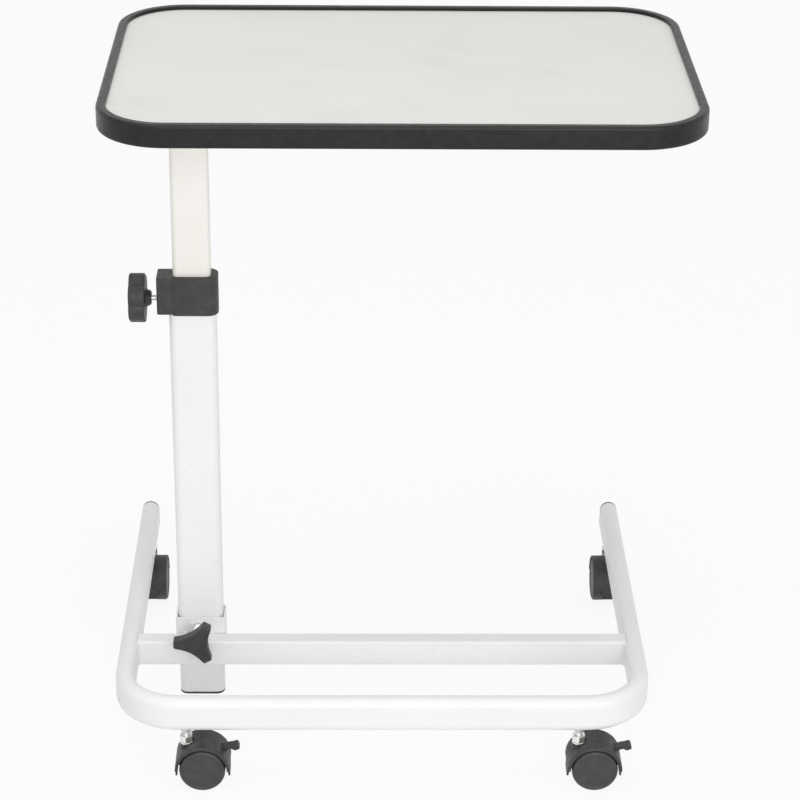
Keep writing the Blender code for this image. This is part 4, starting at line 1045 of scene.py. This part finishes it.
def addCamera():
    camera = bpy.data.objects.new("camera", bpy.data.cameras.new("camera"))
    bpy.context.scene.collection.objects.link(camera)
    camera.data.lens = cameraSizes["lens"]
    camera.data.sensor_width = cameraSizes["sensor"]
    camera.data.clip_start = cameraSizes["clipStart"]
    facing = Matrix.Rotation(math.radians(-cameraSizes["yaw"]), 4, "Z")
    facing = facing @ Matrix.Rotation(math.radians(90 - cameraSizes["pitch"]), 4, "X")
    facing = facing @ Matrix.Rotation(math.radians(cameraSizes["roll"]), 4, "Z")
    low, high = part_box("edge_trim")
    spot = ((low.x + high.x) / 2 + cameraSizes["side"], low.y + cameraSizes["back"], cameraSizes["height"])
    camera.matrix_world = Matrix.Translation(spot) @ facing
    bpy.context.scene.camera = camera


# studio

studio = dict(skyLight=0.58, floorSize=14, floorGlow=0.90, floorColour=(0.86, 0.86, 0.86), floorRough=0.9)
# each lamp's place, what it faces, its size and its power
lamps = dict(softboxAbove=((-0.3, -0.6, 2.6), (0, 0, 0.5), (1.8, 1.4), 14),
             softboxFront=((0.5, -2.8, 1.3), (0, 0, 0.4), (2.2, 1.8), 34))


def addFloor():
    clearSelection()
    bpy.ops.mesh.primitive_plane_add(size=studio["floorSize"], location=(0, 0, 0))
    floor = bpy.context.object
    floor.name = "floor"
    material = newFinish("paleFloor", studio["floorColour"], studio["floorRough"])
    tree = material.node_tree
    glow = tree.nodes.new("ShaderNodeEmission")
    glow.inputs["Strength"].default_value = 1.0
    rays = tree.nodes.new("ShaderNodeLightPath")
    either = tree.nodes.new("ShaderNodeMath")
    either.operation = "MAXIMUM"
    share = tree.nodes.new("ShaderNodeMath")
    share.operation = "MULTIPLY"
    share.inputs[1].default_value = studio["floorGlow"]
    mix = tree.nodes.new("ShaderNodeMixShader")
    tree.links.new(rays.outputs["Is Camera Ray"], either.inputs[0])
    tree.links.new(rays.outputs["Is Glossy Ray"], either.inputs[1])
    tree.links.new(either.outputs["Value"], share.inputs[0])
    tree.links.new(share.outputs["Value"], mix.inputs["Fac"])
    tree.links.new(tree.nodes["Principled BSDF"].outputs["BSDF"], mix.inputs[1])
    tree.links.new(glow.outputs["Emission"], mix.inputs[2])
    tree.links.new(mix.outputs["Shader"], tree.nodes["Material Output"].inputs["Surface"])
    floor.data.materials.append(material)


def addSky():
    world = bpy.data.worlds.new("studioWhite")
    bpy.context.scene.world = world
    world.use_nodes = True
    tree = world.node_tree
    background = tree.nodes["Background"]
    background.inputs["Color"].default_value = (1.0, 1.0, 1.0, 1.0)
    rays = tree.nodes.new("ShaderNodeLightPath")
    seen = tree.nodes.new("ShaderNodeMath")
    seen.operation = "MAXIMUM"
    shown = tree.nodes.new("ShaderNodeMath")
    shown.operation = "MAXIMUM"
    level = tree.nodes.new("ShaderNodeMapRange")
    level.inputs["To Min"].default_value = studio["skyLight"]
    level.inputs["To Max"].default_value = 1.0
    tree.links.new(rays.outputs["Is Camera Ray"], seen.inputs[0])
    tree.links.new(rays.outputs["Is Glossy Ray"], seen.inputs[1])
    tree.links.new(seen.outputs["Value"], shown.inputs[0])
    tree.links.new(rays.outputs["Is Transmission Ray"], shown.inputs[1])
    tree.links.new(shown.outputs["Value"], level.inputs["Value"])
    tree.links.new(level.outputs["Result"], background.inputs["Strength"])


def addLamp(name, at, aim, size, power):
    lamp = bpy.data.objects.new(name, bpy.data.lights.new(name, "AREA"))
    bpy.context.scene.collection.objects.link(lamp)
    lamp.data.shape = "RECTANGLE"
    lamp.data.size = size[0]
    lamp.data.size_y = size[1]
    lamp.data.energy = power
    lamp.location = at
    lamp.rotation_euler = (Vector(aim) - Vector(at)).to_track_quat("-Z", "Y").to_euler()


addCamera()
addFloor()
addSky()
for lampName, settings in lamps.items():
    addLamp(lampName, *settings)
bpy.context.scene.view_settings.view_transform = "Standard"
print("studio: camera, floor, lamps")

clearSelection()
